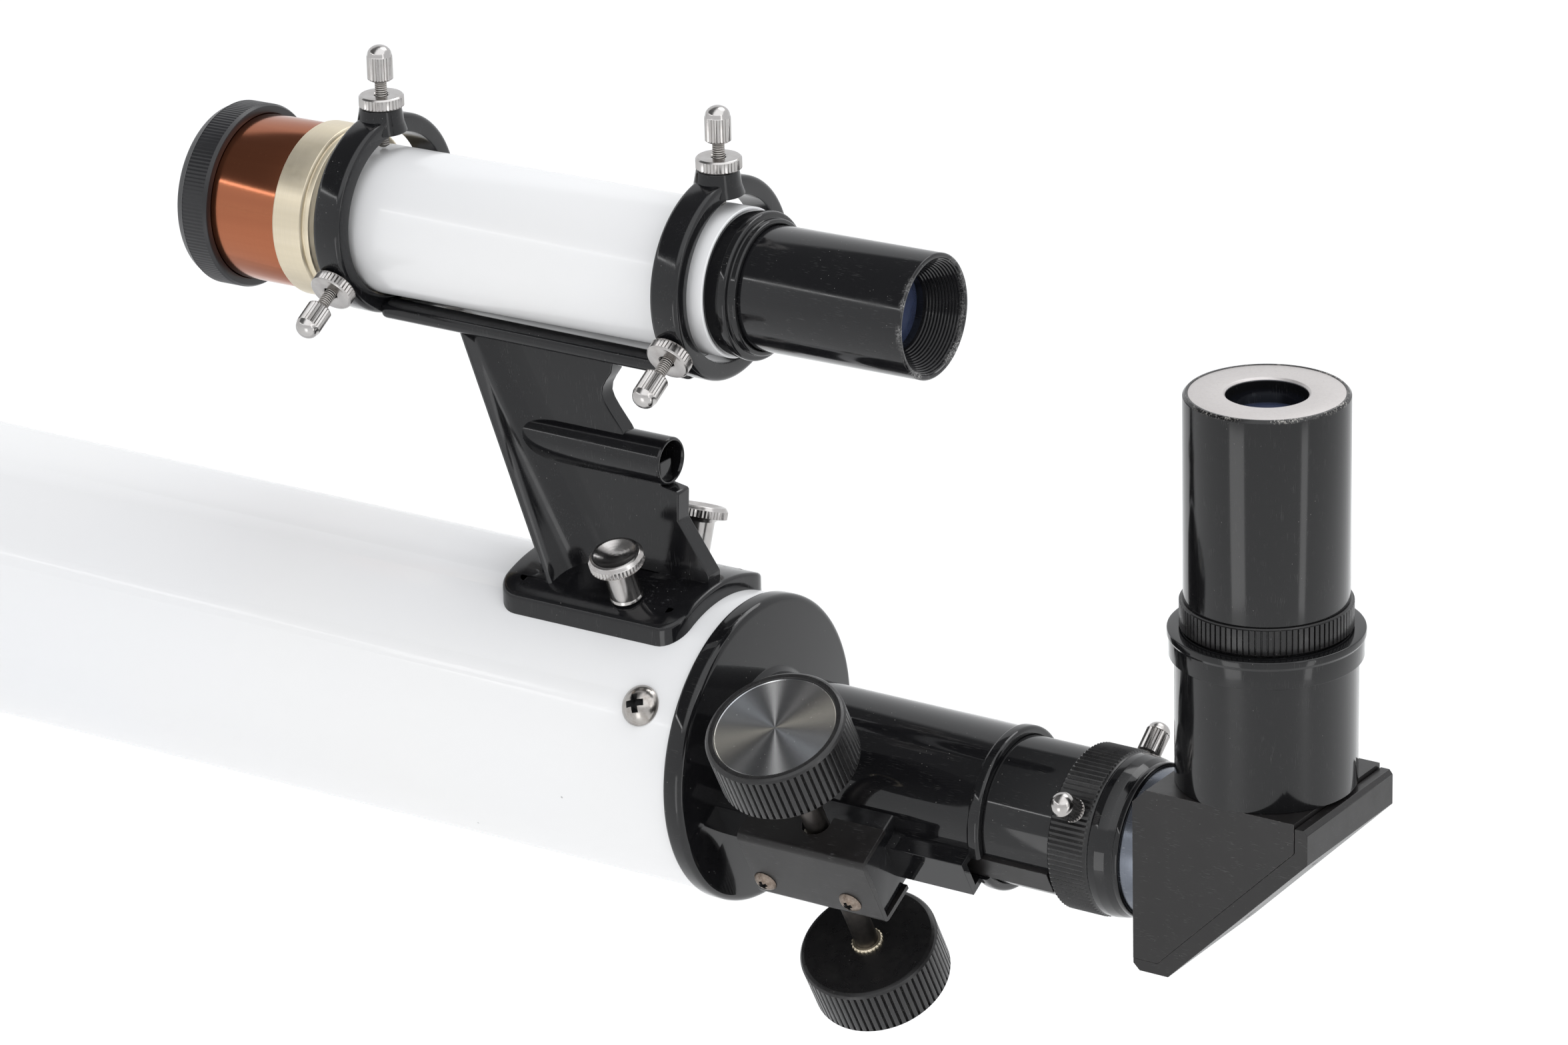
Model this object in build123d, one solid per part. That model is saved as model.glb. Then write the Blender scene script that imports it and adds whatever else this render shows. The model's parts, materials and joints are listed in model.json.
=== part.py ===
from build123d import *
import os
from math import cos, pi, radians, sin, sqrt, tan

# A 60 mm achromatic refractor tube with its finder, rack-and-pinion focuser, star diagonal and
# eyepiece.  All lengths are millimetres.  Shapes are drawn in the tube frame: X runs along the
# optical axis towards the eyepiece, x = 0 is the rear face of the focuser flange, and Z is up.
# save() then moves every piece by PIVOT_TO_FLANGE, so that the origin of the finished part is on
# the optical axis, level with the two altitude bosses on the sides of the main tube.

# ---------------------------------------------------------------- driving dimensions
PIVOT_TO_FLANGE = 265.0

# main tube and objective
TUBE_R = 33.0
TUBE_BORE = 32.0
TUBE_FRONT = -520.0
RIM_LENGTH = 4.8
BAFFLES = ((-400.0, 26.0), (-160.0, 19.0))
CELL_R = 34.2
CELL_BORE = 30.5
LENS_R = 30.4
LENS_SEAT = -528.0
SHIELD_BORE = 34.27
SHIELD_R = 36.5
SHIELD_FRONT = -604.0
SHIELD_REAR = -524.1

# altitude bosses, an M6 thread in each
BOSS_R = 13.0
BOSS_FACE = 38.0
BOSS_SPIGOT_R = 4.9
BOSS_SPIGOT_END = 30.0
YOKE_THREAD_R = 3.0
RIVET_SPACING = 9.0
RIVET_R = 1.5

# focuser, drawn upright with its rack below and then rolled about the tube axis
FOCUSER_ROLL = -61.8
RIM_R = 34.0
HOUSING_R = 17.2
HOUSING_BORE = 16.05
HOUSING_END = 64.2
SCREW_X = -13.7
SCREW_ANGLES = (148.0, 268.0, 28.0)
DRAWTUBE_R = 16.0
DRAWTUBE_BORE = 15.2
DRAWTUBE_ENDS = (-50.0, 83.4)
CHANNEL_HALF = 4.9
CHANNEL_FLOOR = -21.0
CHANNEL_END = 62.0
SHAFT_X = 28.0
SHAFT_Z = -22.3
SHAFT_R = 2.6
SEAT_R = 2.65
BLOCK_X = (12.5, 43.0)
BLOCK_HALF = 8.4
BLOCK_FLOOR = -29.0
BRACKET_X = (12.0, 43.8)
BRACKET_HALF = 9.7
BRACKET_SHEET = 1.2
BRACKET_FLOOR = -30.3
BRACKET_TOP = -20.0
BRACKET_SCREWS = (14.9, 36.4)
BRACKET_SCREW_Y = 4.6
KNOB_R = 15.4
KNOB_FLUTES = 64
KNOB_WIDTH = 12.6
KNOB_NEAR_FACE = -41.2
KNOB_FAR_BACK = 30.4
KNOB_DISC_R = 13.3
KNOB_DISC = 0.5

# gear pair
MODULE = 0.7
PINION_TEETH = 14
PITCH_R = MODULE * PINION_TEETH / 2
PRESSURE_ANGLE = radians(20.0)
TOOTH_PITCH = pi * MODULE
BACKLASH = 0.12
PINION_HALF = 3.0
RACK_HALF = 3.0
RACK_ENDS = (-38.0, 80.0)
RACK_TEETH_EACH_WAY = 15
RACK_BACK = -14.6
RACK_ADDENDUM = 0.56
RACK_DEDENDUM = 0.9

# eyepiece adapter
COLLAR_R = 17.9
COLLAR_X = (80.9, 97.3)
NOSE_R = 15.875
NOSE_BORE = 14.3
SOCKET_R = 15.93
THUMB_X = 86.4
THUMB_ANGLES = {"near": 146.0, "far": 38.0}

# star diagonal and eyepiece
EYE_X = 123.3
DIAGONAL_HALF = 18.2
DIAGONAL_FRONT = 102.0
DIAGONAL_TOP = 20.2
SEAM = 126.2
COVER_FACE = 131.3
SLEEVE_R = 18.9
SPIGOT_R = 15.6
SLEEVE_FLANGE_R = 20.4
SLEEVE_TOP = 54.1
PRISM_LEG = 30.0
PRISM_HALF = 14.5
EYEPIECE_TOP = 104.8
EYEPIECE_R = 17.1
GRIP_R = 17.9
EYE_HOLE_R = 8.5

# finder and its bracket
RING_Z = 106.8
RING_R = 22.1
RING_BORE = 18.0
RINGS_X = ((-100.3, -93.1), (-12.4, -5.2))
AIM_X = {"front": -96.3, "rear": -8.4}
AIM_ANGLES = {"top": 90.0, "near": 210.0, "far": 330.0}
AIM_SHANK_R = 1.45
PAD_HEIGHT = 1.9
AIM_HOLE_R = 1.52
TIP_GAP = 0.05
FINDER_Z = 106.3
FINDER_TILT = 0.72
FINDER_R = 16.2
FINDER_BORE = 15.4
FINDER_EYE_R = 13.45
COPPER_R = 18.35
CAP_R = 20.45
FOOT_X = (-58.5, -10.5)
FOOT_HALF = 18.5
FOOT_R = 36.7
STUD_X = -27.0
STUD_ANGLES = {"near": 110.0, "far": 70.0}
STUD_R = 2.0
SOCKET_Z = 62.2
ROD_SOCKET_R = 5.3
ROD_BORE_R = 4.4
ROD_SOCKET_X = (-62.0, -23.0)
ROD_DEPTH = 30.0

os.makedirs("parts", exist_ok=True)


# ---------------------------------------------------------------- shape helpers
def outline(corners):
    """Closed outline through (a, b) corners; a third value rounds that corner."""
    rounds = [corner[2] if len(corner) > 2 else 0 for corner in corners]
    points = [corner[:2] for corner in corners]
    if any(rounds):
        return make_face(FilletPolyline(*points, radius=rounds, close=True))
    return make_face(Polyline(*points, close=True))


def turned(*corners):
    """Solid of revolution about X from an outline of (x, radius) corners."""
    return revolve(outline(corners), Axis.X)


def rod(x0, x1, r):
    return turned((x0, 0), (x1, 0), (x1, r), (x0, r))


def ring(x0, x1, r_out, r_in):
    return turned((x0, r_in), (x1, r_in), (x1, r_out), (x0, r_out))


def block(x, y, z):
    """Box between low and high limits on each axis."""
    size = Box(x[1] - x[0], y[1] - y[0], z[1] - z[0])
    return Pos(sum(x) / 2, sum(y) / 2, sum(z) / 2) * size


def slab(corners, half):
    """Plate from an outline of (x, z) corners, reaching half either side of y = 0."""
    face = Rot(90, 0, 0) * outline(corners)
    return extrude(face, half, (0, 1, 0)) + extrude(face, half, (0, -1, 0))


def fluted(x0, x1, crest, root, count):
    """Bar along X with straight flutes round its edge."""
    corners = []
    for i in range(2 * count):
        r = root if i % 2 else crest
        corners.append((r * cos(pi * i / count), r * sin(pi * i / count)))
    return Pos(x0, 0, 0) * Rot(0, 90, 0) * extrude(outline(corners), x1 - x0)


def domed(x0, height, r):
    """Spherical cap standing on x0, of the given base radius."""
    ball = (r * r + height * height) / (2 * height)
    middle = x0 + height - ball + sqrt(ball * ball - r * r / 4)
    curve = ThreePointArc((x0 + height, 0), (middle, r / 2), (x0, r))
    sides = Line((x0, r), (x0, 0)) + Line((x0, 0), (x0 + height, 0))
    return revolve(make_face(curve + sides), Axis.X)


def sag_face(x, r, sag):
    """Half outline of a lens face from the axis to its rim at (x, r)."""
    if sag == 0:
        return Line((x, 0), (x, r))
    curve = (r * r + sag * sag) / (2 * abs(sag))
    middle = curve - sqrt(curve * curve - r * r / 4)
    inner = x + sag - middle * sag / abs(sag)
    return ThreePointArc((x + sag, 0), (inner, r / 2), (x, r))


def lens(x_front, x_rear, r, sag_front, sag_rear):
    """Round lens; the rims are at x_front and x_rear and each face is off its rim by its sag."""
    front = sag_face(x_front, r, sag_front)
    rear = sag_face(x_rear, r, sag_rear)
    rim = Line((x_front, r), (x_rear, r))
    axis = Line((x_front + sag_front, 0), (x_rear + sag_rear, 0))
    return revolve(make_face(front + rim + rear + axis), Axis.X)


def along_y(shape):
    """Turn a shape drawn along X so that it runs along Y."""
    return Rot(0, 0, 90) * shape


def upright(shape):
    """Turn a shape drawn along X so that it runs up the eyepiece axis."""
    return Pos(EYE_X, 0, 0) * Rot(0, -90, 0) * shape


def radial(shape, x, angle, height=0.0):
    """Point a shape drawn along X outwards at x, at an angle from +Y towards +Z."""
    return Pos(x, 0, height) * Rot(angle - 90, 0, 0) * Rot(0, -90, 0) * shape


def rolled(shape):
    """Roll a focuser piece from its upright drawing position into place."""
    return Rot(FOCUSER_ROLL, 0, 0) * shape


def tilted(shape):
    """Put a finder piece, drawn along X, on the finder's slightly tilted axis."""
    x = AIM_X["rear"]
    return Pos(x, 0, FINDER_Z) * Rot(0, -FINDER_TILT, 0) * Pos(-x, 0, 0) * shape


def save(node, *pieces):
    """Write one node from its solids, in the finished part's frame."""
    place = Pos(PIVOT_TO_FLANGE, 0, 0)
    solids = [place * solid for piece in pieces for solid in piece.solids()]
    whole = solids[0] if len(solids) == 1 else Compound(children=solids)
    export_step(whole, f"parts/{node}.step")


# ---------------------------------------------------------------- fasteners
def cross_head_screw(head_r, head, shank_r, shank):
    """Round-head screw along X: the head stands on x = 0 and the shank runs to -shank."""
    slot_half = head_r * 0.55
    slot_width = head_r * 0.16
    slots = block((head * 0.45, head + 1), (-slot_half, slot_half), (-slot_width, slot_width))
    slots += block((head * 0.45, head + 1), (-slot_width, slot_width), (-slot_half, slot_half))
    return domed(0, head, head_r) + rod(-shank, 0, shank_r) - slots


def thumbscrew(tip, base, head_r, head, shank_r):
    """Knurled thumbscrew along X with a domed end, from its tip to its head."""
    round_end = 0.35 * shank_r
    straight = head - 0.75 * head_r
    shank = rod(tip + round_end, base + 0.1, shank_r)
    shank += Pos(tip + round_end, 0, 0) * Rot(0, 0, 180) * domed(0, round_end, shank_r)
    knurl = fluted(base, base + straight, head_r, head_r - 0.25, 24)
    return shank + knurl + domed(base + straight, 0.75 * head_r, head_r - 0.15)


# ---------------------------------------------------------------- main tube and objective
def make_main_tube():
    body = ring(TUBE_FRONT, -RIM_LENGTH, TUBE_R, TUBE_BORE)
    reach = (TUBE_BORE - 3, TUBE_R + 2)
    for angle in SCREW_ANGLES:
        body -= radial(rod(*reach, 2.0), SCREW_X, angle)
    for angle in STUD_ANGLES.values():
        body -= radial(rod(*reach, STUD_R + 0.1), STUD_X, angle)
    for side in (0.0, 180.0):
        body -= radial(rod(*reach, BOSS_SPIGOT_R + 0.05), -PIVOT_TO_FLANGE, side)
        for shift in (-RIVET_SPACING, RIVET_SPACING):
            body -= radial(rod(*reach, RIVET_R + 0.05), shift - PIVOT_TO_FLANGE, side)
    return body


def make_baffle(x, aperture):
    """Shallow cup with a hole for the light cone, pressed into the main tube."""
    wall = 0.8
    depth = 6.0
    return turned((x, aperture), (x + wall, aperture), (x + wall, TUBE_BORE - wall),
                  (x + depth, TUBE_BORE - wall), (x + depth, TUBE_BORE), (x, TUBE_BORE))


def make_objective_cell():
    """Moulded cell: a spigot in the tube, a lip, the lens seat and the barrel in front."""
    spigot_end = TUBE_FRONT + 14.0
    front = TUBE_FRONT - 26.0
    return turned((spigot_end, 30.0), (spigot_end, TUBE_BORE), (TUBE_FRONT, TUBE_BORE),
                  (TUBE_FRONT, 35.6), (TUBE_FRONT - 4.0, 35.6), (TUBE_FRONT - 4.0, CELL_R),
                  (front, CELL_R), (front, CELL_BORE), (LENS_SEAT, CELL_BORE),
                  (LENS_SEAT, 28.5), (LENS_SEAT + 3.0, 28.5), (LENS_SEAT + 3.0, 30.0))


def make_objective():
    """Crown and flint lenses, the ring that spaces them and the ring that holds them in."""
    flint_front = LENS_SEAT - 5.0
    crown_rear = flint_front - 1.6
    crown_front = crown_rear - 2.5
    flint = lens(flint_front, LENS_SEAT, LENS_R, 1.1, 0.0)
    crown = lens(crown_front, crown_rear, LENS_R, -1.1, 1.1)
    spacer = ring(crown_rear + 0.1, flint_front, LENS_R, LENS_R - 1.2)
    retainer = ring(crown_front - 3.5, crown_front - 0.15, CELL_BORE, LENS_R - 1.9)
    save("flint_lens", flint)
    save("crown_lens", crown)
    save("lens_spacer", spacer)
    save("lens_retaining_ring", retainer)


def make_dew_shield():
    return turned((SHIELD_REAR, SHIELD_BORE), (SHIELD_REAR, SHIELD_R), (SHIELD_FRONT, SHIELD_R, 0.8),
                  (SHIELD_FRONT, SHIELD_BORE))


def make_boss():
    """Round pad for the mount's yoke, with a spigot through the tube wall and an M6 thread."""
    pad = rod(TUBE_R - 6, BOSS_FACE, BOSS_R)
    pad = radial(pad, 0, 0) - ring(-2 * BOSS_R, 2 * BOSS_R, TUBE_R, 0.01) - rod(-40, 40, 1)
    pad += radial(rod(BOSS_SPIGOT_END, BOSS_FACE - 1, BOSS_SPIGOT_R), 0, 0)
    pad -= radial(rod(BOSS_SPIGOT_END - 1, BOSS_FACE + 1, YOKE_THREAD_R), 0, 0)
    for shift in (-RIVET_SPACING, RIVET_SPACING):
        pad -= radial(rod(TUBE_BORE - 3, BOSS_FACE + 1, RIVET_R), shift, 0)
    return pad


def make_rivet():
    """Rivet along X through a boss and the tube wall, headed at both ends."""
    inner_top = TUBE_BORE - 0.12
    shank = rod(inner_top - 1.2, BOSS_FACE + 0.2, RIVET_R)
    return shank + domed(BOSS_FACE, 1.3, 2.8) + rod(inner_top - 1.2, inner_top, 2.4)


def make_tube_assembly():
    save("main_tube", make_main_tube())
    save("tube_baffles", *[make_baffle(x, aperture) for x, aperture in BAFFLES])
    save("objective_cell", make_objective_cell())
    make_objective()
    save("dew_shield", make_dew_shield())
    bosses = []
    rivets = []
    for side in (0, 180):
        place = Pos(-PIVOT_TO_FLANGE, 0, 0) * Rot(side, 0, 0)
        bosses.append(place * make_boss())
        for shift in (-RIVET_SPACING, RIVET_SPACING):
            rivets.append(place * radial(make_rivet(), shift, 0))
    save("yoke_bosses", *bosses)
    save("yoke_rivets", *rivets)


# ---------------------------------------------------------------- focuser
def make_housing():
    """Flange, barrel, rack channel and pinion block, moulded in one."""
    spigot_front = -22.0
    flange = turned((-3.2, 0), (-3.2, 29.5), (spigot_front, 29.5), (spigot_front, TUBE_BORE),
                    (-RIM_LENGTH, TUBE_BORE), (-RIM_LENGTH, RIM_R, 1.2), (0, RIM_R, 1.6), (0, 0))
    barrel = turned((-14, 0), (-14, 18.6), (0.5, 18.6, 0.2), (0.5, HOUSING_R, 0.5),
                    (HOUSING_END - 2.6, HOUSING_R, 0.3), (HOUSING_END - 2.6, HOUSING_R + 0.8, 0.6),
                    (HOUSING_END, HOUSING_R + 0.8, 0.9), (HOUSING_END, 0))
    channel_x = (-14.0, CHANNEL_END)
    channel = block(channel_x, (-CHANNEL_HALF, CHANNEL_HALF), (CHANNEL_FLOOR, -10))
    pinion_block = block(BLOCK_X, (-BLOCK_HALF, BLOCK_HALF), (BLOCK_FLOOR, -10))
    body = flange + barrel + channel + pinion_block
    body -= rod(-30, HOUSING_END + 5, HOUSING_BORE)
    slot_half = RACK_HALF + 0.3
    slot_floor = CHANNEL_FLOOR + 1.7
    body -= block((-30, HOUSING_END + 5), (-slot_half, slot_half), (slot_floor, -10))
    body -= make_shaft_space()
    for x in BRACKET_SCREWS:
        body -= Pos(x, BRACKET_SCREW_Y, 0) * Rot(0, 90, 0) * rod(-BLOCK_FLOOR - 7, -BLOCK_FLOOR + 1, 1.2)
    body = rolled(body)
    for angle in SCREW_ANGLES:
        body -= radial(rod(28, TUBE_R, 1.9), SCREW_X, angle)
    return body


def make_shaft_space():
    """Pocket for the pinion and seats for its shaft, open below for assembly."""
    pocket_half = PINION_HALF + 0.4
    pocket_r = PITCH_R + 1.2
    place = Pos(SHAFT_X, 0, SHAFT_Z)
    below = (BLOCK_FLOOR - 1, SHAFT_Z)
    pocket = place * along_y(rod(-pocket_half, pocket_half, pocket_r))
    pocket += block((SHAFT_X - pocket_r, SHAFT_X + pocket_r), (-pocket_half, pocket_half), below)
    seat = place * along_y(rod(-BLOCK_HALF - 1, BLOCK_HALF + 1, SEAT_R))
    seat += block((SHAFT_X - SEAT_R, SHAFT_X + SEAT_R), (-BLOCK_HALF - 1, BLOCK_HALF + 1), below)
    return pocket + seat


def make_pinion_bracket():
    """Folded sheet cover that holds the pinion shaft in its seats."""
    inner_half = BRACKET_HALF - BRACKET_SHEET
    floor_top = BRACKET_FLOOR + BRACKET_SHEET
    section = outline(((-BRACKET_HALF, BRACKET_TOP), (-BRACKET_HALF, BRACKET_FLOOR, 1.6),
                       (BRACKET_HALF, BRACKET_FLOOR, 1.6), (BRACKET_HALF, BRACKET_TOP),
                       (inner_half, BRACKET_TOP), (inner_half, floor_top),
                       (-inner_half, floor_top), (-inner_half, BRACKET_TOP)))
    sheet = Pos(BRACKET_X[0], 0, 0) * (Plane.YZ * section)
    body = extrude(sheet, BRACKET_X[1] - BRACKET_X[0], (1, 0, 0))
    hole_r = SHAFT_R + 0.6
    body -= Pos(SHAFT_X, 0, SHAFT_Z) * along_y(rod(-12, 12, hole_r))
    body -= block((SHAFT_X - hole_r, SHAFT_X + hole_r), (-12, 12), (SHAFT_Z, BRACKET_TOP + 1))
    for x in BRACKET_SCREWS:
        body -= Pos(x, BRACKET_SCREW_Y, 0) * Rot(0, 90, 0) * rod(25, 35, 1.3)
    return rolled(body)


def make_pinion_pad():
    """Nylon pad between the bracket and the shaft: a base with two saddle legs."""
    half = BLOCK_HALF - 0.1
    wide = (SHAFT_X - SEAT_R + 0.05, SHAFT_X + SEAT_R - 0.05)
    leg = PINION_HALF + 0.6
    body = block(wide, (-half, half), (BRACKET_FLOOR + BRACKET_SHEET, BLOCK_FLOOR + 0.7))
    for side in (-1, 1):
        reach = sorted((side * leg, side * half))
        body += block(wide, reach, (BLOCK_FLOOR, SHAFT_Z - 0.9))
    body -= Pos(SHAFT_X, 0, SHAFT_Z) * along_y(rod(-half - 1, half + 1, SEAT_R))
    return rolled(body)


def make_bracket_screws():
    screw = cross_head_screw(2.6, 1.8, 1.2, 7.0)
    down = Rot(0, 90, 0) * screw
    return [rolled(Pos(x, BRACKET_SCREW_Y, BRACKET_FLOOR) * down) for x in BRACKET_SCREWS]


def make_tube_screws():
    screw = cross_head_screw(4.1, 2.9, 1.9, 4.0)
    return [radial(Pos(TUBE_R, 0, 0) * screw, SCREW_X, angle) for angle in SCREW_ANGLES]


def tooth_half_angle(r):
    """Half the angle that an involute tooth of the pinion spans at radius r."""
    base_r = PITCH_R * cos(PRESSURE_ANGLE)
    half_at_pitch = (TOOTH_PITCH / 2 - BACKLASH) / 2 / PITCH_R
    turn = sqrt(max(r * r / base_r / base_r - 1, 0))
    involute = turn - atan_of(turn)
    return half_at_pitch + tan(PRESSURE_ANGLE) - PRESSURE_ANGLE - involute


def atan_of(value):
    """Arc tangent of a positive number from the half-angle sine and cosine of its triangle."""
    vector = Vector(1, value, 0)
    return radians(Vector(1, 0, 0).get_angle(vector))


def make_pinion():
    """Spur pinion on the shaft; a tooth points at the rack when the focuser is at rest."""
    tip_r = PITCH_R + MODULE * 0.95
    root_r = PITCH_R - MODULE * 1.15
    base_r = PITCH_R * cos(PRESSURE_ANGLE)
    flank = [root_r] + [base_r + (tip_r - base_r) * i / 4 for i in range(5)]
    corners = []
    for tooth in range(PINION_TEETH):
        centre = pi / 2 + 2 * pi * tooth / PINION_TEETH
        for r in flank:
            corners.append((r, centre - tooth_half_angle(max(r, base_r))))
        for r in reversed(flank):
            corners.append((r, centre + tooth_half_angle(max(r, base_r))))
    gear = outline([(r * cos(angle), r * sin(angle)) for r, angle in corners])
    face = Rot(90, 0, 0) * gear
    body = extrude(face, PINION_HALF, (0, 1, 0)) + extrude(face, PINION_HALF, (0, -1, 0))
    body -= along_y(rod(-5, 5, SHAFT_R))
    return rolled(Pos(SHAFT_X, 0, SHAFT_Z) * body)


def make_rack():
    """Rack bar let into the drawtube, toothed where the pinion reaches it."""
    pitch_z = SHAFT_Z + PITCH_R
    tip_z = pitch_z - RACK_ADDENDUM
    root_z = pitch_z + RACK_DEDENDUM
    half_at_pitch = (TOOTH_PITCH / 2 - BACKLASH) / 2
    half_tip = half_at_pitch - RACK_ADDENDUM * tan(PRESSURE_ANGLE)
    half_root = half_at_pitch + RACK_DEDENDUM * tan(PRESSURE_ANGLE)
    corners = [(RACK_ENDS[0], RACK_BACK), (RACK_ENDS[0], root_z)]
    toothed_end = SHAFT_X
    for i in range(-2 * RACK_TEETH_EACH_WAY + 1, RACK_TEETH_EACH_WAY - 4):
        x = SHAFT_X + (i + 0.5) * TOOTH_PITCH
        corners += [(x - half_root, root_z), (x - half_tip, tip_z)]
        corners += [(x + half_tip, tip_z), (x + half_root, root_z)]
        toothed_end = x + TOOTH_PITCH / 2
    plain_z = -DRAWTUBE_R - 0.9
    corners += [(toothed_end, root_z), (toothed_end, plain_z), (RACK_ENDS[1], plain_z)]
    corners += [(RACK_ENDS[1], RACK_BACK)]
    return rolled(slab(corners, RACK_HALF))


def make_drawtube():
    body = ring(*DRAWTUBE_ENDS, DRAWTUBE_R, DRAWTUBE_BORE)
    body -= rolled(block(RACK_ENDS, (-RACK_HALF, RACK_HALF), (-20, -10)))
    return body


def make_knob():
    """Fluted knob along X: its outer face is at 0 and its back at KNOB_WIDTH."""
    bevel = 0.7
    body = fluted(bevel, KNOB_WIDTH - bevel, KNOB_R, KNOB_R - 0.55, KNOB_FLUTES)
    body += turned((0, 0), (0, KNOB_R - 0.9), (bevel, KNOB_R - 0.5), (KNOB_WIDTH - bevel, KNOB_R - 0.5),
                   (KNOB_WIDTH, KNOB_R - 1.1), (KNOB_WIDTH, 0))
    body -= rod(-1, KNOB_DISC, KNOB_DISC_R)
    return body - rod(4, KNOB_WIDTH + 1, SHAFT_R)


def make_focus_shaft():
    """Shaft, knobs, knob discs and washers, each in its own node."""
    far_face = KNOB_FAR_BACK + KNOB_WIDTH
    place = Pos(SHAFT_X, 0, SHAFT_Z)
    near = Pos(KNOB_NEAR_FACE, 0, 0)
    far = Pos(far_face, 0, 0) * Rot(0, 0, 180)
    disc = rod(0.05, KNOB_DISC, KNOB_DISC_R - 0.02)
    washer = ring(KNOB_WIDTH, KNOB_WIDTH + 0.9, SHAFT_R + 1.0, SHAFT_R)
    shaft = rod(KNOB_NEAR_FACE + 4, far_face - 4, SHAFT_R)

    def finish(shape):
        return rolled(place * along_y(shape))

    save("pinion_shaft", finish(shaft))
    save("focus_knob_near", finish(near * make_knob()))
    save("focus_knob_far", finish(far * make_knob()))
    save("knob_discs", finish(near * disc), finish(far * disc))
    save("knob_washers", finish(near * washer), finish(far * washer))


def make_adapter_collar():
    """Collar screwed onto the drawtube; it takes the diagonal's nosepiece."""
    front, rear = COLLAR_X
    knurl_end = front + 9.0
    body = turned((front, DRAWTUBE_R), (front, COLLAR_R, 0.4), (knurl_end, COLLAR_R, 0.2),
                  (knurl_end + 0.4, COLLAR_R - 0.4), (knurl_end + 2.0, COLLAR_R - 0.4, 0.8),
                  (knurl_end + 4.6, COLLAR_R - 0.8, 1.2), (knurl_end + 5.9, COLLAR_R - 1.6),
                  (knurl_end + 6.0, COLLAR_R - 1.2), (rear, COLLAR_R - 1.2, 0.3), (rear, SOCKET_R),
                  (DRAWTUBE_ENDS[1] + 0.1, SOCKET_R), (DRAWTUBE_ENDS[1] + 0.1, DRAWTUBE_R))
    for angle in THUMB_ANGLES.values():
        body -= radial(rod(SOCKET_R - 2, COLLAR_R + 2, 1.57), THUMB_X, angle)
    return body


def make_focuser():
    save("focuser_housing", make_housing())
    save("focuser_screws", *make_tube_screws())
    save("pinion_bracket", make_pinion_bracket())
    save("pinion_pad", make_pinion_pad())
    save("pinion_bracket_screws", *make_bracket_screws())
    save("pinion_gear", make_pinion())
    save("focus_rack", make_rack())
    save("drawtube", make_drawtube())
    save("adapter_collar", make_adapter_collar())
    make_focus_shaft()
    for side, angle in THUMB_ANGLES.items():
        screw = thumbscrew(NOSE_R + TIP_GAP, COLLAR_R + 1.0, 2.65, 7.8, 1.5)
        save(f"adapter_thumbscrew_{side}", radial(screw, THUMB_X, angle))


# ---------------------------------------------------------------- star diagonal
def make_diagonal_body():
    """Wedge housing with a bore for each sleeve and a cavity for the prism."""
    seam_low = DIAGONAL_FRONT + 5.8
    seam_high = SEAM + 13.7
    body = slab(((DIAGONAL_FRONT, seam_low - SEAM), (DIAGONAL_FRONT, 17.0),
                 (DIAGONAL_FRONT + 3.2, DIAGONAL_TOP), (seam_high, DIAGONAL_TOP),
                 (seam_high, 13.7), (seam_low, seam_low - SEAM)), DIAGONAL_HALF)
    front = EYE_X - PRISM_LEG / 2 - 0.3
    top = PRISM_LEG / 2 + 0.3
    body -= slab(((front, top), (front, front - SEAM), (front, front - SEAM - 3), (top + SEAM - 2, top - 4),
                  (top + SEAM - 2, top)), PRISM_HALF + 0.3)
    body -= rod(DIAGONAL_FRONT - 1, DIAGONAL_FRONT + 2.5, NOSE_R)
    body -= rod(DIAGONAL_FRONT, front + 1, NOSE_BORE)
    body -= upright(rod(top + 1.2, DIAGONAL_TOP + 1, SPIGOT_R))
    return body - upright(rod(top - 1, DIAGONAL_TOP, NOSE_BORE))


def make_diagonal_cover():
    """Back cover under the sloping side, with a lip round each end of the body."""
    seam_low = DIAGONAL_FRONT + 5.8
    seam_high = SEAM + 13.7
    body = slab(((DIAGONAL_FRONT, seam_low - SEAM - 0.02), (seam_low, seam_low - SEAM - 0.02),
                 (seam_high + 0.15, 13.8), (seam_high + 0.15, 19.3, 0.3), (142.2, 19.3), (143.0, 18.3),
                 (143.0, 143.0 - COVER_FACE), (COVER_FACE - 21.0, -21.0), (103.5, -21.0),
                 (DIAGONAL_FRONT, -19.5)), DIAGONAL_HALF)
    for shift in (-11.0, 11.0):
        body -= cover_axis(shift) * rod(-3, 8, 1.25)
    return body


def cover_axis(shift):
    """Place on the sloping outer face, pointing out of it, shifted along the slope."""
    middle = COVER_FACE / 2 + EYE_X / 2
    x = middle + shift / sqrt(2)
    return Pos(x, 0, x - COVER_FACE) * Rot(0, 45, 0)


def make_cover_screws():
    screw = domed(0, 0.8, 2.3) + rod(-3.0, 0, 1.2)
    slot = block((0.35, 2), (-3, 3), (-0.3, 0.3))
    return [cover_axis(shift) * (screw - slot) for shift in (-11.0, 11.0)]


def make_prism():
    """Right-angle prism that folds the light up into the eyepiece."""
    half = PRISM_LEG / 2
    return slab(((EYE_X - half, half), (EYE_X - half, -half), (EYE_X + half, half)), PRISM_HALF)


def make_prism_clamp():
    """Bent leaf between the cover and the back of the prism."""
    gap = (SEAM - EYE_X) / sqrt(2)
    leaf = block((-gap + 0.05, -gap + 0.45), (-12, 12), (-9, 9))
    leaf += block((-gap + 0.05, -0.05), (-12, 12), (-9, -8.6))
    leaf += block((-gap + 0.05, -0.05), (-12, 12), (8.6, 9))
    x = (SEAM + EYE_X) / 2
    return Pos(x, 0, x - SEAM) * Rot(0, 45, 0) * leaf


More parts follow.
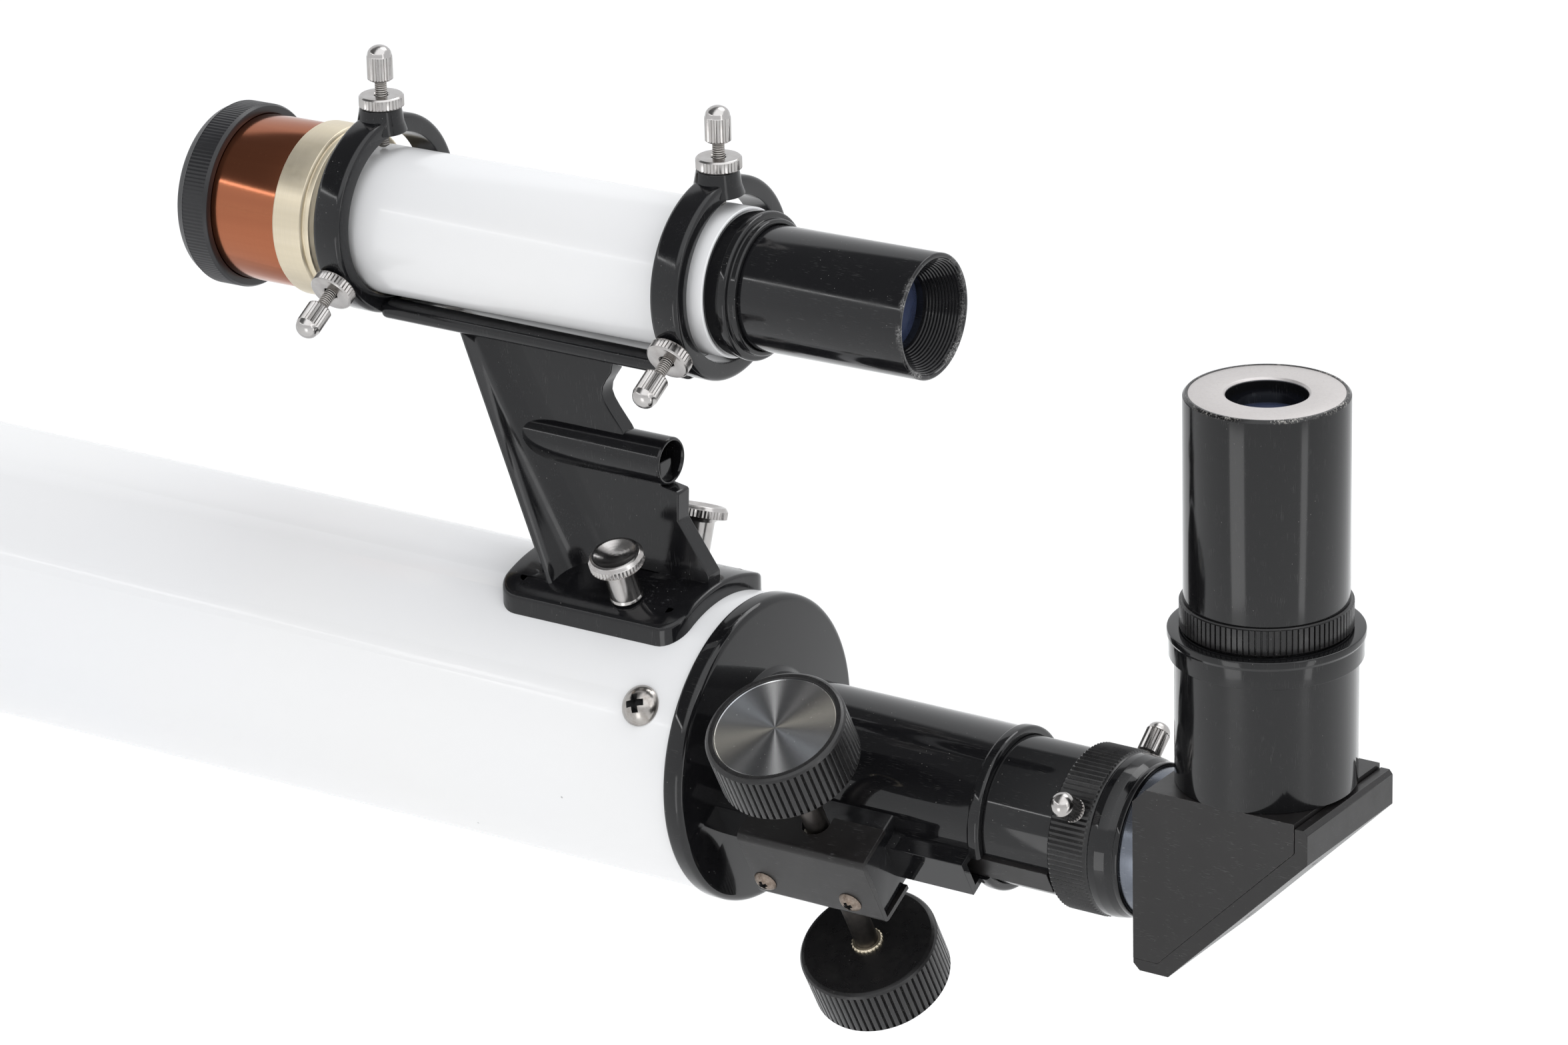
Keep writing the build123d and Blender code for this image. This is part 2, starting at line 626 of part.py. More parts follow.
def make_diagonal_sleeve():
    """Upright sleeve with a bevelled flange that the eyepiece rests on."""
    seat = PRISM_LEG / 2 + 1.5
    flange = SLEEVE_TOP - 6.1
    return upright(turned((seat, NOSE_BORE), (seat, SPIGOT_R), (DIAGONAL_TOP, SPIGOT_R),
                          (DIAGONAL_TOP, SLEEVE_R), (flange, SLEEVE_R), (flange, SLEEVE_FLANGE_R - 0.8, 0.2),
                          (SLEEVE_TOP - 2.0, SLEEVE_FLANGE_R - 0.7), (SLEEVE_TOP - 1.2, SLEEVE_FLANGE_R),
                          (SLEEVE_TOP, SLEEVE_FLANGE_R, 0.3), (SLEEVE_TOP, SOCKET_R),
                          (seat + 6, SOCKET_R), (seat + 6, NOSE_BORE)))


def make_diagonal():
    save("diagonal_nosepiece", ring(84.0, DIAGONAL_FRONT + 2.5, NOSE_R, NOSE_BORE))
    save("diagonal_body", make_diagonal_body())
    save("diagonal_cover", make_diagonal_cover())
    save("diagonal_cover_screws", *make_cover_screws())
    save("diagonal_sleeve", make_diagonal_sleeve())
    save("diagonal_prism", make_prism())
    save("prism_clamp", make_prism_clamp())


# ---------------------------------------------------------------- eyepiece
def make_eyepiece():
    """Barrel, body, grip ring, top plate, two lenses and the field stop."""
    grip = (SLEEVE_TOP + 0.2, SLEEVE_TOP + 6.2)
    neck_r = NOSE_R + 0.6
    barrel = turned((28, 14.6), (28, NOSE_R, 0.4), (grip[0] + 5, NOSE_R), (grip[0] + 5, 14.6))
    body = turned((grip[0], NOSE_R), (grip[0], neck_r), (grip[1], neck_r), (grip[1], EYEPIECE_R, 0.2),
                  (EYEPIECE_TOP, EYEPIECE_R, 0.5), (EYEPIECE_TOP, 16.0), (EYEPIECE_TOP - 0.7, 16.0),
                  (EYEPIECE_TOP - 0.7, EYE_HOLE_R), (92, EYE_HOLE_R), (92, 12.0), (66, 12.0),
                  (66, 13.8), (grip[0] + 5, 13.8), (grip[0] + 5, NOSE_R))
    collar = ring(*grip, GRIP_R - 0.5, neck_r)
    ribs = fluted(grip[0] + 0.4, grip[1] - 0.3, GRIP_R, GRIP_R - 0.45, 90) - rod(*grip, neck_r)
    plate = ring(EYEPIECE_TOP - 0.7, EYEPIECE_TOP - 0.1, 16.0, EYE_HOLE_R)
    save("eyepiece_barrel", upright(barrel))
    save("eyepiece_body", upright(body))
    save("eyepiece_grip", upright(collar + ribs))
    save("eyepiece_top_plate", upright(plate))
    save("eye_lens", upright(lens(97.0, 99.4, EYE_HOLE_R, -0.8, 1.2)))
    save("field_lens", upright(lens(70.0, 73.0, 12.0, -1.6, 1.6)))
    save("field_stop", upright(ring(44.0, 45.0, 14.6, 11.5)))


# ---------------------------------------------------------------- finder
def make_finder_tube():
    return ring(-106.0, -2.8, FINDER_R, FINDER_BORE)


def make_finder_collar():
    """Rear bush of the finder; the focusing eyepiece tube slides in it."""
    bore = FINDER_EYE_R + 0.05
    return turned((-14, bore), (-14, FINDER_BORE), (-2.8, FINDER_BORE), (-2.8, FINDER_R - 0.5, 0.2),
                  (0.8, FINDER_R - 0.5), (0.8, FINDER_R - 0.2, 0.25), (2.7, FINDER_R - 0.2, 0.6),
                  (2.7, FINDER_EYE_R + 1.2, 0.2), (4.4, FINDER_EYE_R + 1.2, 0.8), (4.4, bore))


def make_finder_eyepiece():
    """Eyepiece tube with a stepped eye cup, its lens and the ring with the cross wires."""
    end = 44.4
    cup = [(end, FINDER_EYE_R - 1.2)]
    for i in range(5):
        cup += [(end - 1.5 * (i + 1), FINDER_EYE_R - 1.5 - 0.75 * i)]
        cup += [(end - 1.5 * (i + 1), FINDER_EYE_R - 1.5 - 0.75 * (i + 1))]
    body = turned((-12, 12.3), (-12, FINDER_EYE_R), (end, FINDER_EYE_R, 0.5), *cup, (32.5, 8.2), (32.5, 12.3))
    reticle = ring(-6, -5, 12.3, 10.0)
    wires = block((-5.6, -5.4), (-10.5, 10.5), (-0.1, 0.1)) + block((-5.6, -5.4), (-0.1, 0.1), (-10.5, 10.5))
    save("finder_eyepiece_tube", tilted(body))
    save("finder_eye_lens", tilted(lens(32.9, 35.0, 8.2, -0.9, 0.9)))
    save("finder_cross_wires", tilted(reticle + wires))


def make_finder_cell():
    """Anodised dew tube and lens seat, on a spigot pushed over the finder tube."""
    return turned((-138.0, COPPER_R - 1.0), (-138.0, COPPER_R, 0.2), (-113.2, COPPER_R),
                  (-113.2, COPPER_R - 0.9), (-106.0, COPPER_R - 0.9), (-106.0, FINDER_BORE),
                  (-112.5, FINDER_BORE), (-112.5, 15.0), (-115.0, 15.0), (-115.0, COPPER_R - 1.0))


def make_brass_ring():
    """Turned brass ring behind the anodised tube, with one groove."""
    r = 19.3
    return turned((-113.2, COPPER_R - 0.9), (-113.2, r, 0.3), (-105.6, r, 0.2), (-105.6, r - 0.8),
                  (-104.9, r - 0.8), (-104.9, r - 0.4), (-103.6, r - 0.6, 0.2), (-103.6, FINDER_R),
                  (-106.0, FINDER_R), (-106.0, COPPER_R - 0.9))


def make_finder_cap():
    bore = COPPER_R + 0.07
    body = fluted(-137.4, -131.2, CAP_R, CAP_R - 0.2, 120)
    body += turned((-140.2, 0), (-140.2, CAP_R - 0.1, 3.0), (-130.6, CAP_R - 0.1, 0.4), (-130.6, 0))
    return body - rod(-138.2, -130, bore)


def make_finder():
    save("finder_tube", tilted(make_finder_tube()))
    save("finder_collar", tilted(make_finder_collar()))
    save("finder_cell", tilted(make_finder_cell()))
    save("finder_brass_ring", tilted(make_brass_ring()))
    save("finder_objective", tilted(lens(-119.4, -115.0, COPPER_R - 1.0, -1.2, 0.0)))
    save("finder_cap", tilted(make_finder_cap()))
    make_finder_eyepiece()


# ---------------------------------------------------------------- finder bracket
def make_ring_pair():
    """The two rings round the finder, with a pad for each top screw."""
    body = None
    for (front, rear), x in zip(RINGS_X, AIM_X.values()):
        piece = turned((front, RING_BORE), (front, RING_R, 1.2), (rear, RING_R, 1.2), (rear, RING_BORE))
        piece = Pos(0, 0, RING_Z) * piece
        pad = turned((RING_R - 3, 0), (RING_R - 3, 5.6), (RING_R + PAD_HEIGHT, 4.6), (RING_R + PAD_HEIGHT, 0))
        piece += radial(pad, x, AIM_ANGLES["top"], RING_Z)
        body = piece if body is None else body + piece
    return body


def make_column():
    """Slanted front of the pillar: wide in front, narrow where it meets the web."""
    low = 30.0
    high = 86.0
    levels = []
    for z in (low, high):
        share = (z - low) / (high - low)
        x = -45.8 - 28.6 * share
        front = 14.5 - 8.3 * share
        corners = ((x, -front), (x, front), (x + 7.5, 2.6), (x + 7.5, -2.6))
        levels.append(Pos(0, 0, z) * outline(corners))
    return loft(levels, ruled=True)


def make_web():
    """Upright web behind the column: hollowed behind the rear ring, stepped below the socket."""
    return slab(((-72, 86), (-36.0, 86), (-36.2, 81, 1), (-40.0, 76, 5), (-34.4, 68), (-31, SOCKET_Z),
                 (-24.5, SOCKET_Z), (-24.5, 57.0), (-20.0, 56.2, 0.5), (-20.3, 49.6), (-12.6, 38.5),
                 (-12.6, 30), (-42, 30)), 2.2)


def make_foot():
    """Saddle with rounded corners that hugs the main tube."""
    centre = sum(FOOT_X) / 2
    plan = Pos(centre, 0, 0) * RectangleRounded(FOOT_X[1] - FOOT_X[0], 2 * FOOT_HALF, 5.5)
    return extrude(plan, FOOT_R + 1) & turned((FOOT_X[0], 0), (FOOT_X[0], FOOT_R, 1.4),
                                              (FOOT_X[1], FOOT_R, 1.4), (FOOT_X[1], 0))


def make_finder_bracket():
    """One moulding: saddle foot, slanted pillar, rod socket, base bar and the two rings."""
    bar = block((RINGS_X[0][1] - 0.5, RINGS_X[1][0] + 0.5), (-8, 8), (84.9, 88.6))
    socket = Pos(0, 0, SOCKET_Z) * rod(*ROD_SOCKET_X, ROD_SOCKET_R)
    body = make_foot() + make_column() + make_web() + bar + socket + make_ring_pair()
    body -= rod(FOOT_X[0] - 20, FOOT_X[1] + 20, TUBE_R)
    body -= Pos(0, 0, SOCKET_Z) * rod(ROD_SOCKET_X[1] - ROD_DEPTH, ROD_SOCKET_X[1] + 1, ROD_BORE_R)
    for front, rear in RINGS_X:
        body -= Pos(0, 0, RING_Z) * rod(front - 1, rear + 1, RING_BORE)
    for x in AIM_X.values():
        for angle in AIM_ANGLES.values():
            body -= radial(rod(RING_BORE - 2, RING_R + 5, AIM_HOLE_R), x, angle, RING_Z)
    for angle in STUD_ANGLES.values():
        body -= radial(rod(TUBE_BORE, FOOT_R + 3, STUD_R), STUD_X, angle)
    return body


def make_stud():
    """Stud along X with its head inside the main tube."""
    head_top = TUBE_BORE - 0.25
    return rod(head_top - 1.6, 45.0, STUD_R) + rod(head_top - 1.6, head_top, 3.6)


def make_thumb_nut():
    """Thin cupped nut, knurled round its edge, on a slim neck, along X."""
    base = FOOT_R + 0.3
    head = base + 9.2
    neck = turned((base, 0), (base, 3.9, 0.4), (head - 0.8, 3.5, 0.3), (head, 4.6), (head, 0))
    knurl = fluted(head, head + 1.9, 6.1, 5.85, 44)
    rim = turned((head + 1.9, 0), (head + 1.9, 5.9, 0.3), (head + 2.7, 5.4, 0.3), (head + 2.7, 0))
    cup = domed(0, 1.3, 4.7)
    body = neck + knurl + rim - Pos(head + 2.71, 0, 0) * Rot(0, 0, 180) * cup
    return body - rod(base - 1, base + 8.8, STUD_R + 0.08)


def tip_radius(end, angle):
    """Distance from the ring's centre to the finder tube along a screw, with the tip's gap."""
    lower = (AIM_X["rear"] - AIM_X[end]) * tan(radians(FINDER_TILT)) + RING_Z - FINDER_Z
    along = -lower * sin(radians(angle))
    across = lower * cos(radians(angle))
    return along + sqrt(FINDER_R**2 - across**2) + TIP_GAP


def make_aim_screws():
    """Three aim screws in each ring, and their lock nuts in one node."""
    nuts = []
    for end, x in AIM_X.items():
        for side, angle in AIM_ANGLES.items():
            seat = RING_R + (PAD_HEIGHT if side == "top" else 0.15)
            base = seat + (6.1 if side == "top" else 7.0)
            screw = thumbscrew(tip_radius(end, angle), base, 2.8, 7.8, AIM_SHANK_R)
            save(f"aim_screw_{end}_{side}", radial(screw, x, angle, RING_Z))
            nut = fluted(seat, seat + 2.8, 4.95, 4.65, 36) - rod(seat - 1, seat + 4, AIM_HOLE_R)
            nuts.append(radial(nut, x, angle, RING_Z))
    save("aim_lock_nuts", *nuts)


def make_bracket_set():
    save("finder_bracket", make_finder_bracket())
    save("bracket_studs", *[radial(make_stud(), STUD_X, angle) for angle in STUD_ANGLES.values()])
    for side, angle in STUD_ANGLES.items():
        save(f"thumb_nut_{side}", radial(make_thumb_nut(), STUD_X, angle))
    make_aim_screws()


make_tube_assembly()
make_focuser()
make_diagonal()
make_eyepiece()
make_finder()
make_bracket_set()
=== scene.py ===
import json
from collections import namedtuple
from math import acos, cos, degrees, hypot, radians, sin, sqrt, tan, pi as PI
import bmesh
import bpy
from mathutils import Matrix, Vector


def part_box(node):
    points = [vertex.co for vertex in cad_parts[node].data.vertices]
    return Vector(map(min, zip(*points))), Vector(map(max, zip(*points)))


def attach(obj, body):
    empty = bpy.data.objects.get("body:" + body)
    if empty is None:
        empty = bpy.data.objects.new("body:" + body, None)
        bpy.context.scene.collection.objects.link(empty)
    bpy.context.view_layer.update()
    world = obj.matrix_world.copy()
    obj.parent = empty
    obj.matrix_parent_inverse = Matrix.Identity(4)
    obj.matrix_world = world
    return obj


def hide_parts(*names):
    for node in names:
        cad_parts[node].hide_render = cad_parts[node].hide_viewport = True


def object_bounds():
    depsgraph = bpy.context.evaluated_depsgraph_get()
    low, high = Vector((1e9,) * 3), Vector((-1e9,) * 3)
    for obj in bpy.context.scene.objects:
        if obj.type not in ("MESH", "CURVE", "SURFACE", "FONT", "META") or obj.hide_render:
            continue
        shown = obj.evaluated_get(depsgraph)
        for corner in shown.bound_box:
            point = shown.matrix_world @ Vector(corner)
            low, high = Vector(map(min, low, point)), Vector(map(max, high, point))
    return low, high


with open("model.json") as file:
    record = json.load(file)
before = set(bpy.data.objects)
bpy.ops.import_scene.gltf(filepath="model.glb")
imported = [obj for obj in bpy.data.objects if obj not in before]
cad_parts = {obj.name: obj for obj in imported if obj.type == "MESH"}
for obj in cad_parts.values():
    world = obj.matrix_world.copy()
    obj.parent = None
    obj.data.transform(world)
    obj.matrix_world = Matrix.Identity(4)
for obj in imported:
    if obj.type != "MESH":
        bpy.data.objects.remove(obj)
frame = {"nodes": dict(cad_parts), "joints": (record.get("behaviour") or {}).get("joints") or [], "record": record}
cad_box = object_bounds()
nodes = frame["nodes"]
joints = {j["name"]: j for j in frame["joints"]}
MM = 0.001
TINY = 1e-6
SHARP = radians(34)        # made pieces: edges sharper than this stay crisp
CAD_SHARP = radians(32)    # the same for copies of CAD meshes, and for bevels

# Sizes in mm; those along X are from the flange's rear face, or from the finder's own origin
TUBE_R = 33.0
LIP = 4.8                       # thickness of the flange's rim behind the tube
SCREW_X, SCREW_ANGLES = -13.7, (148, 268, 28)
STUD_X, STUD_ANGLES = -27, {"near": 110, "far": 70}
NOSE_R = 15.875                 # half of 1.25 inch
SOCKET_R = 15.93
GEAR_X, GEAR_R, GEAR_HALF = 28, 6.1, 3.4
SEAT_R = 2.66
RACK_HALF, RACK_FLOOR = 3.3, -19.3
PINION_LOW = (-31, -22.3)
ADAPTER_HEAD = AIM_HEAD = 7.8
COVER_HEAD, HEAD_SUNK = 0.8, 0.8  # CAD head height, and the share of it that is hidden here
RINGS_X = ((-100.3, -93.1), (-12.4, -5.2))
RING_BORE, RING_R = 18.05, 22.1
AIM_ANGLES = {"top": 90.0, "near": 210.0, "far": 330.0}
TIP_GAP = 0.2                   # keeps the aim screws off the finder's tube as it tilts
ROD_Z = 62.2                    # the altitude rod socket's axis

# The fitted camera: the photograph's width and the focal length in its pixels, the sensor in mm
PHOTO_WIDTH, FOCAL_PX, SENSOR = 2352, 10022.6, 36


# ---- places, from the CAD frame
def rx(deg):
    return Matrix.Rotation(radians(deg), 4, "X")


def ry(deg):
    return Matrix.Rotation(radians(deg), 4, "Y")


def rz(deg):
    return Matrix.Rotation(radians(deg), 4, "Z")


def at(x, y=0.0, z=0.0):
    return Matrix.Translation(Vector((x, y, z)) * MM)


def middle(node):
    low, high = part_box(node)
    return (low + high) / 2


def along(point, direction, side=Vector((0, 0, 1))):
    """Matrix whose local X runs along direction from point."""
    x = Vector(direction).normalized()
    y = Vector(side).cross(x)
    y = y.normalized() if y.length > TINY else Vector((0, 1, 0))
    z = x.cross(y)
    m = Matrix((x, y, z)).transposed().to_4x4()
    m.translation = Vector(point)
    return m


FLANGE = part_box("main_tube")[1].x + LIP * MM
TUBE = Matrix.Translation((FLANGE, 0, 0))
shaft_joint = joints["focus_turn"]
shaft_dir = Vector(shaft_joint["axis"])
ROLL = -degrees(acos(shaft_dir.y))
ROLLED = TUBE @ rx(ROLL)
SHAFT = along(shaft_joint["pos_m"], shaft_dir, Vector((1, 0, 0)))
EYE_X = middle("eyepiece_body").x
UPRIGHT = Matrix.Translation((EYE_X, 0, 0)) @ ry(-90)
finder_pos = Vector(joints["finder_pitch"]["pos_m"])
finder_dir = Vector(joints["finder_focus_slide"]["axis"])
FINDER = along(finder_pos, finder_dir) @ at(8.4)
RING_Z = joints["aim_screw_rear_near_turn"]["pos_m"][2] / MM + 15.0


def radial(x, angle, height=0.0):
    """Local X points out of the tube (or ring) at that angle from +Y towards +Z."""
    return TUBE @ at(x, 0, height) @ rx(angle - 90) @ ry(-90)


# ---- mesh building
def soften(corners, default, steps, closed):
    """Outline with each corner rounded: (x, r) takes the default radius, (x, r, f) its own."""
    out = []
    n = len(corners)
    for i, c in enumerate(corners):
        p = Vector(c[:2])
        f = c[2] if len(c) > 2 else default
        if not closed and i in (0, n - 1):
            out.append(tuple(p))
            continue
        a = Vector(corners[i - 1][:2]) - p
        b = Vector(corners[(i + 1) % n][:2]) - p
        if f <= 0 or a.length < TINY or b.length < TINY or (p.y < TINY):
            out.append(tuple(p))
            continue
        angle = a.angle(b)
        if angle > PI - 0.03 or angle < 0.03:
            out.append(tuple(p))
            continue
        t = min(f / tan(angle / 2), 0.45 * a.length, 0.45 * b.length)
        r = t * tan(angle / 2)
        a.normalize()
        b.normalize()
        centre = p + (a + b).normalized() * (r / sin(angle / 2))
        s = p + a * t - centre
        e = p + b * t - centre
        sweep = s.angle_signed(e)
        for k in range(steps + 1):
            w = -sweep * k / steps
            ca, sa = cos(w), sin(w)
            out.append((centre.x + s.x * ca - s.y * sa, centre.y + s.x * sa + s.y * ca))
    return out


# Flutes between x0 and x1 where the outline is r or more from the axis, in steps of 1 / fine each
Flute = namedtuple("Flute", "x0 x1 count depth kind r fine")


def wave(kind, t):
    """Depth share, 0 at a crest and 1 in a groove, for t in turns of one flute."""
    t = t % 1.0
    if kind == "groove":
        return max(0.0, cos(2 * PI * t) - 0.25) / 0.75
    if kind == "rib":
        return 1.0 if 0.4 < t < 0.6 else 0.0
    return abs(2 * t - 1)


def linked(name, data):
    obj = bpy.data.objects.new(name, data)
    bpy.context.scene.collection.objects.link(obj)
    return obj


def shade(mesh, angle=SHARP):
    for p in mesh.polygons:
        p.use_smooth = True
    mesh.set_sharp_from_angle(angle=angle)


def new_object(name, verts, faces, place, material, uv=None):
    mesh = bpy.data.meshes.new(name)
    mesh.from_pydata(verts, [], faces)
    if uv:
        layer = mesh.uv_layers.new(name="UVMap")
        flat = [c for face in uv for point in face for c in point]
        layer.data.foreach_set("uv", flat)
    bm = bmesh.new()
    bm.from_mesh(mesh)
    bmesh.ops.recalc_face_normals(bm, faces=bm.faces)
    bm.to_mesh(mesh)
    bm.free()
    shade(mesh)
    mesh.materials.append(material)
    obj = linked(name, mesh)
    obj.matrix_world = place
    return obj


def lathe(name, corners, place, material, segs=144, fillet=0.15, steps=3, closed=True, flute=None):
    """Turned piece about local X from (x, r[, fillet]) corners in mm; flutes set the segments."""
    outline = soften(corners, fillet, steps, closed)
    if flute:
        segs = flute.count * flute.fine
    verts = []
    rings = []
    for x, r in outline:
        if r < TINY:
            rings.append([len(verts)])
            verts.append((x * MM, 0, 0))
            continue
        ring = []
        cut_here = flute and flute.x0 - TINY <= x <= flute.x1 + TINY and r >= flute.r
        for k in range(segs):
            turn = k / segs
            rr = r - flute.depth * wave(flute.kind, turn * flute.count) if cut_here else r
            ring.append(len(verts))
            verts.append((x * MM, rr * MM * cos(2 * PI * turn), rr * MM * sin(2 * PI * turn)))
        rings.append(ring)
    faces = []
    uv = []
    count = len(rings)
    run = 0.0
    for i in range(count if closed else count - 1):
        a, b = rings[i], rings[(i + 1) % count]
        pa, pb = Vector(outline[i]), Vector(outline[(i + 1) % count])
        step = (pb - pa).length / 20
        if len(a) == 1 and len(b) == 1:
            continue
        for k in range(segs):
            m = (k + 1) % segs
            u0, u1 = k / segs, (k + 1) / segs
            if len(a) == 1:
                faces.append((a[0], b[k], b[m]))
                uv.append(((u0, run), (u0, run + step), (u1, run + step)))
            elif len(b) == 1:
                faces.append((a[k], b[0], a[m]))
                uv.append(((u0, run), (u0, run + step), (u1, run)))
            else:
                faces.append((a[k], b[k], b[m], a[m]))
                uv.append(((u0, run), (u0, run + step), (u1, run + step), (u1, run)))
        run += step
    return new_object(name, verts, faces, place, material, uv)


def swept(n):
    """Faces of a section of n corners swept from one end to the other."""
    sides = [(i, i + n, (i + 1) % n + n, (i + 1) % n) for i in range(n)]
    return [tuple(range(n)), tuple(range(2 * n - 1, n - 1, -1)), *sides]


def prism(name, corners, half, place, material):
    """Plate from an outline of (x, z) corners in mm, half either side of y = 0."""
    verts = [(c[0] * MM, s * half * MM, c[1] * MM) for s in (-1, 1) for c in corners]
    return new_object(name, verts, swept(len(corners)), place, material)


def bevelled(obj, width, segments=3):
    mod = obj.modifiers.new("bevel", "BEVEL")
    mod.width = width * MM
    mod.segments = segments
    mod.limit_method = "ANGLE"
    mod.angle_limit = CAD_SHARP
    mod.harden_normals = False
    mod.miter_outer = "MITER_ARC"
    return obj


def from_cad(node, material, bevel=0.0, segments=2):
    """Copy of a CAD node's mesh with its flat faces merged and its edges softened."""
    mesh = nodes[node].data.copy()
    mesh.name = node + "_look"
    mesh.materials.clear()
    mesh.materials.append(material)
    bm = bmesh.new()
    bm.from_mesh(mesh)
    bmesh.ops.remove_doubles(bm, verts=bm.verts, dist=2e-7)
    bmesh.ops.dissolve_limit(bm, angle_limit=radians(0.6), verts=bm.verts, edges=bm.edges)
    bmesh.ops.recalc_face_normals(bm, faces=bm.faces)
    bm.to_mesh(mesh)
    bm.free()
    if "custom_normal" in mesh.attributes:
        mesh.attributes.remove(mesh.attributes["custom_normal"])
    shade(mesh, CAD_SHARP)
    obj = linked(node + "_look", mesh)
    if bevel:
        bevelled(obj, bevel, segments)
    return stand_for(obj, node)


def stand_for(obj, *names, body=None):
    """obj replaces those nodes and rides on their body, the first one's unless a body is given."""
    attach(obj, body or body_of[names[0]])
    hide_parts(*names)
    return obj


def turned(node, place, kind, corners, *rest, name=None, **named):
    """Turned piece that replaces a node."""
    obj = lathe(name or node + "_shell", corners, place, look[kind], *rest, **named)
    return stand_for(obj, node)


def joined(first, *others):
    """Several pieces as one object."""
    bpy.context.view_layer.update()
    for o in bpy.context.selected_objects:
        o.select_set(False)
    for o in (first, *others):
        o.select_set(True)
        bpy.context.view_layer.objects.active = o
        for mod in list(o.modifiers):
            bpy.ops.object.modifier_apply(modifier=mod.name)
    bpy.context.view_layer.objects.active = first
    bpy.ops.object.join()
    return first


def cut(obj, *tools):
    """Boolean difference, applied."""
    for tool in tools:
        mod = obj.modifiers.new("cut", "BOOLEAN")
        mod.operation = "DIFFERENCE"
        mod.solver = "EXACT"
        mod.object = tool
        bpy.context.view_layer.objects.active = obj
        bpy.ops.object.modifier_apply(modifier=mod.name)
    for tool in tools:
        bpy.data.objects.remove(tool)
    shade(obj.data)
    return obj


def box_tool(x, y, z, place):
    corners = ((x[0], z[0]), (x[1], z[0]), (x[1], z[1]), (x[0], z[1]))
    return prism("tool", corners, (y[1] - y[0]) / 2, place @ at(0, (y[0] + y[1]) / 2, 0),
        plain_tool)


def rod_tool(x0, x1, r, place, segs=32):
    return lathe("tool", ((x0, 0), (x1, 0), (x1, r), (x0, r)), place, plain_tool, segs, 0)


def repaint(thing, *materials):
    thing.data.materials.clear()
    for material in materials:
        thing.data.materials.append(material)


record = frame["record"]
body_of = {n: b for b, ns in record["behaviour"]["bodies"].items() for n in ns}
plain_tool = bpy.data.materials.new("tool")


# ---- materials
def put(socket, value):
    """Link an output to the socket, or give the socket a value."""
    if isinstance(value, bpy.types.NodeSocket):
        socket.id_data.links.new(value, socket)
    else:
        socket.default_value = value


def add_node(tree, kind, inputs=(), **settings):
    node = tree.nodes.new(kind)
    for key, value in settings.items():
        setattr(node, key, value)
    for key, value in dict(inputs).items():
        put(node.inputs[key], value)
    return node


